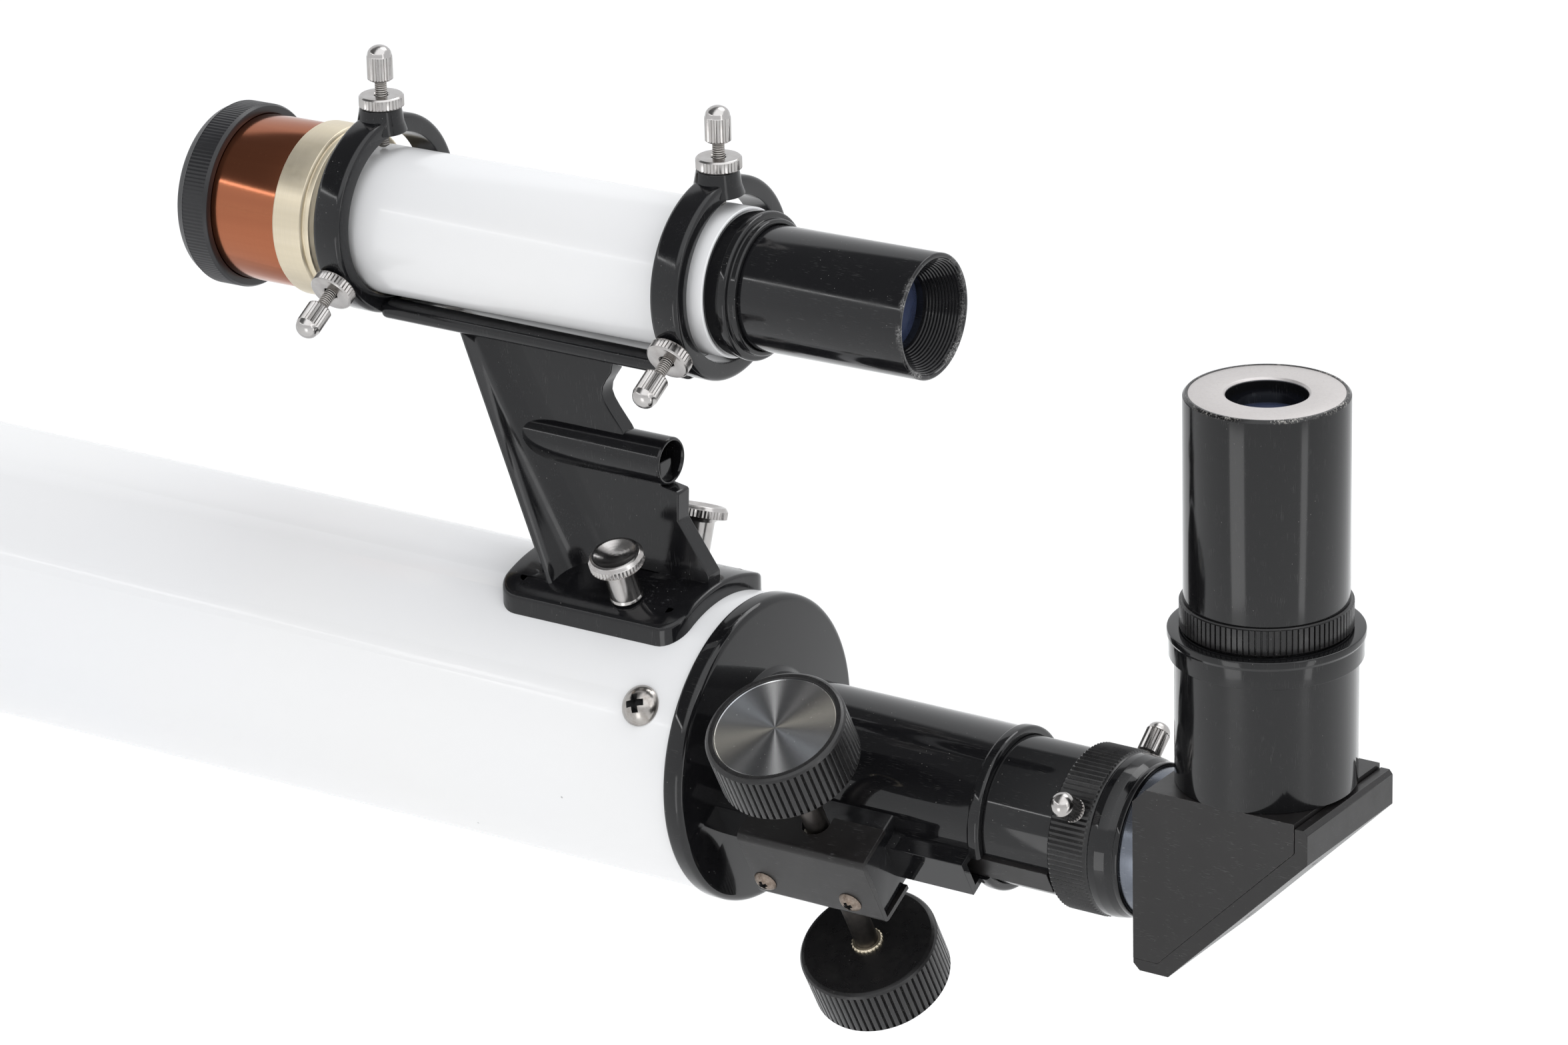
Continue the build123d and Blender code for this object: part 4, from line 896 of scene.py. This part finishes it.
def build_eyepiece():
    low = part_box("eyepiece_barrel")[0].z / MM
    turned("eyepiece_barrel", UPRIGHT, "nickel", ((low, 14.6), (low, NOSE_R, 0.4), (59.3, NOSE_R),
        (59.3, 14.6)), 160)
    turned("eyepiece_body", UPRIGHT, "eyepiece", ((54.3, NOSE_R), (54.3, 16.475), (60.3, 16.475),
        (60.3, 17.1, 0.25), (104.25, 17.1, 0.3), (104.8, 16.55, 0.2), (104.8, 16.0, 0.1),
        (104.1, 16.0), (104.1, 8.5, 0.1), (92, 8.5), (92, 12), (66, 12), (66, 13.8), (59.3, 13.8),
        (59.3, NOSE_R)), 224)
    rib = Flute(54.65, 59.95, 90, 0.42, "rib", 17.5, 12)
    turned("eyepiece_grip", UPRIGHT, "ribbed", ((54.3, 16.475), (54.3, 17.45, 0.1), (54.6, 17.5),
        (54.65, 17.9, 0.05), (59.95, 17.9, 0.05), (60.0, 17.5), (60.3, 17.4, 0.1), (60.3, 16.475)),
        fillet=0.03, flute=rib, name="eyepiece_grip_ring")
    turned("eyepiece_top_plate", UPRIGHT, "plate", ((104.1, 16.0), (104.7, 16.0, 0.1),
        (104.7, 8.9, 0.1), (104.3, 8.5, 0.1), (104.1, 8.5)), 160, 0.05, name="eyepiece_top_disc")


# ---- finder
def build_finder():
    turned("finder_tube", FINDER, "enamel", ((-106, 15.4), (-106, 16.2), (-2.8, 16.2, 0.25),
        (-2.8, 15.4)), 224)
    turned("finder_collar", FINDER, "gloss", ((-14, 13.5), (-14, 15.4), (-2.8, 15.4),
        (-2.8, 15.7, 0.15), (0.7, 15.7, 0.15), (0.8, 16.0, 0.3), (2.7, 16.0, 0.6),
        (2.7, 14.65, 0.3), (4.4, 14.65, 0.8), (4.4, 13.5, 0.3)), 192)
    turned("finder_cell", FINDER, "copper", ((-138, 17.35), (-138, 18.35, 0.2),
        (-113.2, 18.35, 0.1), (-113.2, 17.45), (-106, 17.45), (-106, 15.4), (-112.5, 15.4),
        (-112.5, 15.0), (-115, 15.0), (-115, 17.35)), 224, 0.05)
    turned("finder_brass_ring", FINDER, "brass", ((-113.2, 17.45), (-113.2, 19.1, 0.1),
        (-112.9, 19.3, 0.1), (-105.9, 19.3, 0.15), (-105.6, 18.9, 0.1), (-105.4, 18.5, 0.1),
        (-104.9, 18.5, 0.1), (-104.7, 18.9, 0.1), (-103.8, 18.8, 0.2), (-103.6, 18.4, 0.1),
        (-103.6, 16.2), (-106, 16.2), (-106, 17.45)), 224, 0.05)
    knurl = Flute(-137.0, -131.4, 150, 0.10, "knurl", 20.2, 6)
    turned("finder_cap", FINDER, "cap", ((-140.2, 0), (-140.2, 12.0, 0.3), (-140.2, 17.5, 2.4),
        (-139.2, 19.3, 1.6), (-137.4, 20.2, 0.4), (-137.0, 20.45, 0.05), (-131.4, 20.45, 0.05),
        (-131.1, 20.25, 0.1), (-130.6, 20.0, 0.25), (-130.6, 18.42, 0.15), (-138.2, 18.42),
        (-138.2, 0)), fillet=0.05, closed=False, flute=knurl)
    end = 44.4
    steps = [(end, 12.5, 0.25)]
    for i in range(12):
        steps.append((end - 0.4 - 0.60 * i, 12.30 - 0.33 * i, 0.06))
        steps.append((end - 0.4 - 0.60 * i - 0.16, 12.30 - 0.33 * i - 0.24, 0.03))
    turned("finder_eyepiece_tube", FINDER, "scuffed", ((-12, 12.3), (-12, 13.45, 0.2),
        (end - 0.3, 13.45, 0.3), (end, 13.1, 0.2), *steps, (36.6, 8.2, 0.1), (32.5, 8.2),
        (32.5, 12.3)), 192, 0.05, name="finder_eyepiece_shell")


# ---- bracket and its screws
def skin(name, rows, place, material):
    """Surface through rows of points (mm) that each run round the piece, with flat ends."""
    n = len(rows[0])
    verts = [tuple(c * MM for c in p) for row in rows for p in row]
    faces = []
    for i in range(len(rows) - 1):
        for k in range(n):
            m = (k + 1) % n
            faces.append((i * n + k, i * n + m, (i + 1) * n + m, (i + 1) * n + k))
    faces.append(tuple(range(n)))
    faces.append(tuple((len(rows) - 1) * n + k for k in reversed(range(n))))
    return new_object(name, verts, faces, place, material)


def bracket_foot():
    """Saddle on the main tube, with rounded corners, a rolled upper edge and a hollow side."""
    x0, x1, half, corner = -58.5, -10.5, 18.5, 5.5
    plan = []
    for cx, cy, start in ((x1 - corner, half - corner, 0), (x0 + corner, half - corner, 90),
            (x0 + corner, corner - half, 180), (x1 - corner, corner - half, 270)):
        for k in range(9):
            a = radians(start + 90 * k / 8)
            plan.append((cx + corner * cos(a), cy + corner * sin(a), cos(a), sin(a)))
    closed = []
    for i, p in enumerate(plan):
        q = plan[(i + 1) % len(plan)]
        steps = max(1, round(hypot(q[0] - p[0], q[1] - p[1]) / 1.6))
        for k in range(steps):
            t = k / steps
            closed.append(tuple(p[j] + (q[j] - p[j]) * t for j in range(4)))

    def row(inset, r):
        out = []
        for x, y, nx, ny in closed:
            yy = y - ny * inset
            out.append((x - nx * inset, yy, sqrt(max(r * r - yy * yy, 1))))
        return out

    rows = [row(0, 33.02), row(0, 34.6)]
    for k in range(6):
        a = radians(90 * k / 5)
        rows.append(row(0.8 * (1 - cos(a)), 35.9 + 0.8 * sin(a)))
    for inset in (4.0, 8.0, 12.0, 16.0):
        rows.append(row(inset, 36.7))
    return skin("foot", rows, TUBE, look["moulded"])


def bracket_column():
    """Slanted front of the pillar: a flange whose sides sweep in to the web."""
    rows = []
    for i in range(13):
        z = 31.5 + (85.2 - 31.5) * i / 12
        share = (z - 30) / 56
        x = -45.8 - 28.6 * share
        front = 14.5 - 8.3 * share
        side = [(x, -front + 1.0), (x + 0.3, -front + 0.3), (x + 1.0, -front),
            (x + 1.7, -front + 0.5)]
        for k in range(1, 11):
            t = k / 10
            u = 1 - t
            side.append((u * u * (x + 1.9) + 2 * u * t * (x + 4.2) + t * t * (x + 13.5),
                u * u * (-front + 0.9) + 2 * u * t * -2.6 - t * t * 2.15))
        side.append((x + 16.0, -2.15))
        ring = side + [(px, -py) for px, py in reversed(side)]
        rows.append([(px, py, z) for px, py in ring])
    return skin("column", rows, TUBE, look["moulded"])


def bracket_web():
    corners = [(-66, 85.5), (-36.0, 85.5), (-36.05, 83.0), (-36.6, 80.6), (-38.0, 78.6),
        (-38.9, 77.0), (-39.2, 75.2), (-38.6, 73.6), (-37.4, 71.8), (-34.4, 68), (-31, ROD_Z),
        (-24.5, ROD_Z), (-24.5, 57.0), (-20.4, 56.3), (-20.0, 55.9), (-20.3, 49.6), (-12.6, 38.5),
        (-12.6, 33.5), (-42, 33.5), (-50, 60)]
    return bevelled(prism("web", corners, 2.2, TUBE, look["moulded"]), 0.9, 4)


def build_bracket():
    moulded = look["moulded"]
    pieces = [bracket_foot(), bracket_column(), bracket_web()]
    place = TUBE @ at(0, 0, ROD_Z)
    pieces.append(lathe("socket", ((-62.0, 0), (-62.0, 5.3, 1.0), (-23.4, 5.3, 0.35),
        (-23.0, 5.0, 0.2), (-23.0, 4.6, 0.2), (-23.6, 4.4), (-53.0, 4.4), (-53.0, 0)), place,
        moulded, 96, 0.2, 4, closed=False))
    saddle = []
    for k in range(9):
        y = -4.5 + 9 * k / 8
        saddle.append((y, 106.8 - sqrt(18.6 ** 2 - y * y)))
    section = [(-8.0, 84.9), (8.0, 84.9), (8.0, 88.6), *reversed(saddle), (-8.0, 88.6)]
    bar = skin("bar", [[(x, y, z) for y, z in section] for x in (-93.7, -11.8)], TUBE, moulded)
    pieces.append(bevelled(bar, 1.5, 4))
    place = TUBE @ at(0, 0, RING_Z)
    for front, rear in RINGS_X:
        pieces.append(lathe("ring", ((front, RING_BORE, 0.35), (front, RING_R, 1.3),
            (rear, RING_R, 1.3), (rear, RING_BORE, 0.35)), place, moulded, 160, 0.3, 5))
        centre = (front + rear) / 2
        pieces.append(lathe("pad", ((18.6, 0), (18.6, 5.9), (20.6, 5.2, 2.0), (24.0, 4.55, 0.4),
            (24.0, 0)), radial(centre, 90, RING_Z), moulded, 64, 0.2, 4, closed=False))
    stand_for(joined(*pieces), "finder_bracket")
    build_aim_screws()
    build_thumb_nuts()


def build_aim_screws():
    for end in ("front", "rear"):
        for side, angle in AIM_ANGLES.items():
            node = f"aim_screw_{end}_{side}"
            x = (middle(node).x - FLANGE) / MM
            place = radial(x, angle, RING_Z)
            inverse = place.inverted()
            reach = [(inverse @ v.co).x / MM for v in nodes[node].data.vertices]
            tip, top = min(reach) + TIP_GAP, max(reach)
            build_thumbscrew(node, place, tip, top - AIM_HEAD, 2.8, AIM_HEAD, 1.3)
            seat = RING_R + (1.9 if side == "top" else 0.15)
            knurl = Flute(seat + 0.35, seat + 2.45, 36, 0.26, "knurl", 4.85, 6)
            turned("aim_lock_nuts", place, "nickel", ((seat, 1.55), (seat, 4.5, 0.15),
                (seat + 0.35, 4.93, 0.05), (seat + 2.45, 4.93, 0.05), (seat + 2.8, 4.55, 0.2),
                (seat + 2.8, 1.9, 0.1), (seat + 2.5, 1.55)), fillet=0.04, flute=knurl,
                name=f"lock_nut_{end}_{side}")


def build_thumb_nuts():
    base = 37.0
    head = base + 9.2
    cup = []
    for k in range(8):
        r = 4.7 * k / 7
        cup.append((head + 1.42 + 1.25 * (r / 4.7) ** 2, r))
    for side, angle in STUD_ANGLES.items():
        knurl = Flute(head + 0.15, head + 1.75, 44, 0.24, "knurl", 5.95, 6)
        turned(f"thumb_nut_{side}", radial(STUD_X, angle), "nickel", (*cup, (head + 2.7, 5.0, 0.25),
            (head + 2.55, 5.5, 0.3), (head + 1.9, 5.95, 0.2), (head + 1.75, 6.08),
            (head + 0.15, 6.08), (head, 5.75, 0.15), (head - 0.05, 4.5, 0.2),
            (head - 0.8, 3.55, 0.6), (base + 0.8, 3.5, 0.3), (base, 3.9, 0.3), (base, 2.1),
            (base + 8.7, 2.1), (base + 8.7, 0)), fillet=0.05, closed=False, flute=knurl)


def paint_rest():
    """Materials for the CAD nodes that stay as they are."""
    kinds = {"tube_baffles": "inner", "crown_lens": "lens", "flint_lens": "lens",
        "lens_spacer": "inner", "lens_retaining_ring": "satin", "yoke_bosses": "satin",
        "yoke_rivets": "bright", "pinion_pad": "nylon", "pinion_gear": "brass",
        "bracket_studs": "thread", "diagonal_prism": "prism", "prism_clamp": "bright",
        "eye_lens": "lens", "field_lens": "lens", "field_stop": "inner", "finder_objective": "lens",
        "finder_eye_lens": "lens", "finder_cross_wires": "inner"}
    for node, kind in kinds.items():
        repaint(nodes[node], look[kind])


build_tube()
build_focuser()
build_shaft()
build_drawtube()
build_diagonal()
build_eyepiece()
build_finder()
build_bracket()
paint_rest()


# ---- floor, light, camera
def build_stage():
    """Pale floor, well below: nothing in the photograph touches one."""
    ground = min(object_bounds()[0].z, cad_box[0].z) - 0.30
    paper = Look("pale_floor", (0.90, 0.90, 0.895), 0.55)
    paper.tint(paper.noise(300, 2), (0.88, 0.88, 0.88), 0.5)
    corners = [(14 * x, 14 * y, ground) for x, y in ((-1, -1), (1, -1), (1, 1), (-1, 1))]
    floor = new_object("floor", corners, [(0, 1, 2, 3)], Matrix.Identity(4), paper.done())


def softbox(name, place, target, width, height, power):
    """Area lamp; width and height in metres, power in watts."""
    data = bpy.data.lights.new(name, "AREA")
    data.shape = "RECTANGLE"
    data.size = width
    data.size_y = height
    data.energy = power
    lamp = linked(name, data)
    lamp.location = place
    lamp.rotation_mode = "QUATERNION"
    lamp.rotation_quaternion = (Vector(target) - Vector(place)).to_track_quat("-Z", "Y")


def build_light():
    """Pale room, bright low down and behind, with a ceiling that is darker on the left."""
    aim = (FLANGE, 0, 0.05)
    eye = (EYE_X, 0, -0.20)
    softbox("line", (-0.66, -1.12, 0.72), (FLANGE - 0.1, 0, 0.1), 1.5, 0.035, 1.1)
    softbox("strip_wide", (EYE_X - 0.12, -0.60, -0.20), eye, 0.22, 0.30, 0.36)
    softbox("strip_side", (EYE_X + 0.60, -0.10, -0.20), eye, 0.10, 0.30, 0.16)
    softbox("fill", (1.8, -0.55, 0.55), aim, 0.30, 0.9, 1.2)
    softbox("top", (0.35, 0.95, 1.35), aim, 0.8, 0.8, 4.8)
    world = bpy.data.worlds.new("room")
    world.use_nodes = True
    tree = world.node_tree
    colour, strength = tree.nodes["Background"].inputs[:2]
    colour.default_value = (0.975, 0.985, 1.0, 1)
    coords = add_node(tree, "ShaderNodeTexCoord").outputs["Generated"]
    x, y, z = add_node(tree, "ShaderNodeSeparateXYZ", {0: coords}).outputs

    def step(value, low, high, out_low, out_high):
        inputs = {"Value": value, "From Min": low, "From Max": high, "To Min": out_low,
            "To Max": out_high}
        node = add_node(tree, "ShaderNodeMapRange", inputs, interpolation_type="SMOOTHSTEP")
        return node.outputs["Result"]

    ceiling = step(x, -0.38, -0.02, 0.17, 1.8)
    rise = step(y, -0.1, 0.3, 0.0, 0.29)
    height = add_node(tree, "ShaderNodeMath", {0: z, 1: rise}, operation="SUBTRACT").outputs[0]
    put(strength, step(height, 0.39, 0.46, 0.98, ceiling))
    bpy.context.scene.world = world


def build_camera():
    """The photograph's camera, fitted to the circles of the flange, knobs, rings and eyepiece."""
    azimuth, elevation, roll = (radians(v) for v in (33.74, 21.43, -1.51))
    forward = Vector((-sin(azimuth) * cos(elevation), cos(azimuth) * cos(elevation),
        -sin(elevation)))
    right = Vector((cos(azimuth), sin(azimuth), 0))
    up = right.cross(forward)
    r = right * cos(roll) + up * sin(roll)
    u = up * cos(roll) - right * sin(roll)
    data = bpy.data.cameras.new("camera")
    data.sensor_width = SENSOR
    data.lens = FOCAL_PX * SENSOR / PHOTO_WIDTH
    data.clip_start = 0.05
    data.clip_end = 60
    camera = linked("camera", data)
    m = Matrix((r, u, -forward)).transposed().to_4x4()
    m.translation = Vector((FLANGE + 0.7417, -1.1020, 0.5738))
    camera.matrix_world = m
    bpy.context.scene.camera = camera


build_stage()
build_light()
build_camera()
bpy.context.scene.view_settings.view_transform = "Standard"
bpy.context.scene.view_settings.look = "None"
bpy.data.materials.remove(plain_tool)
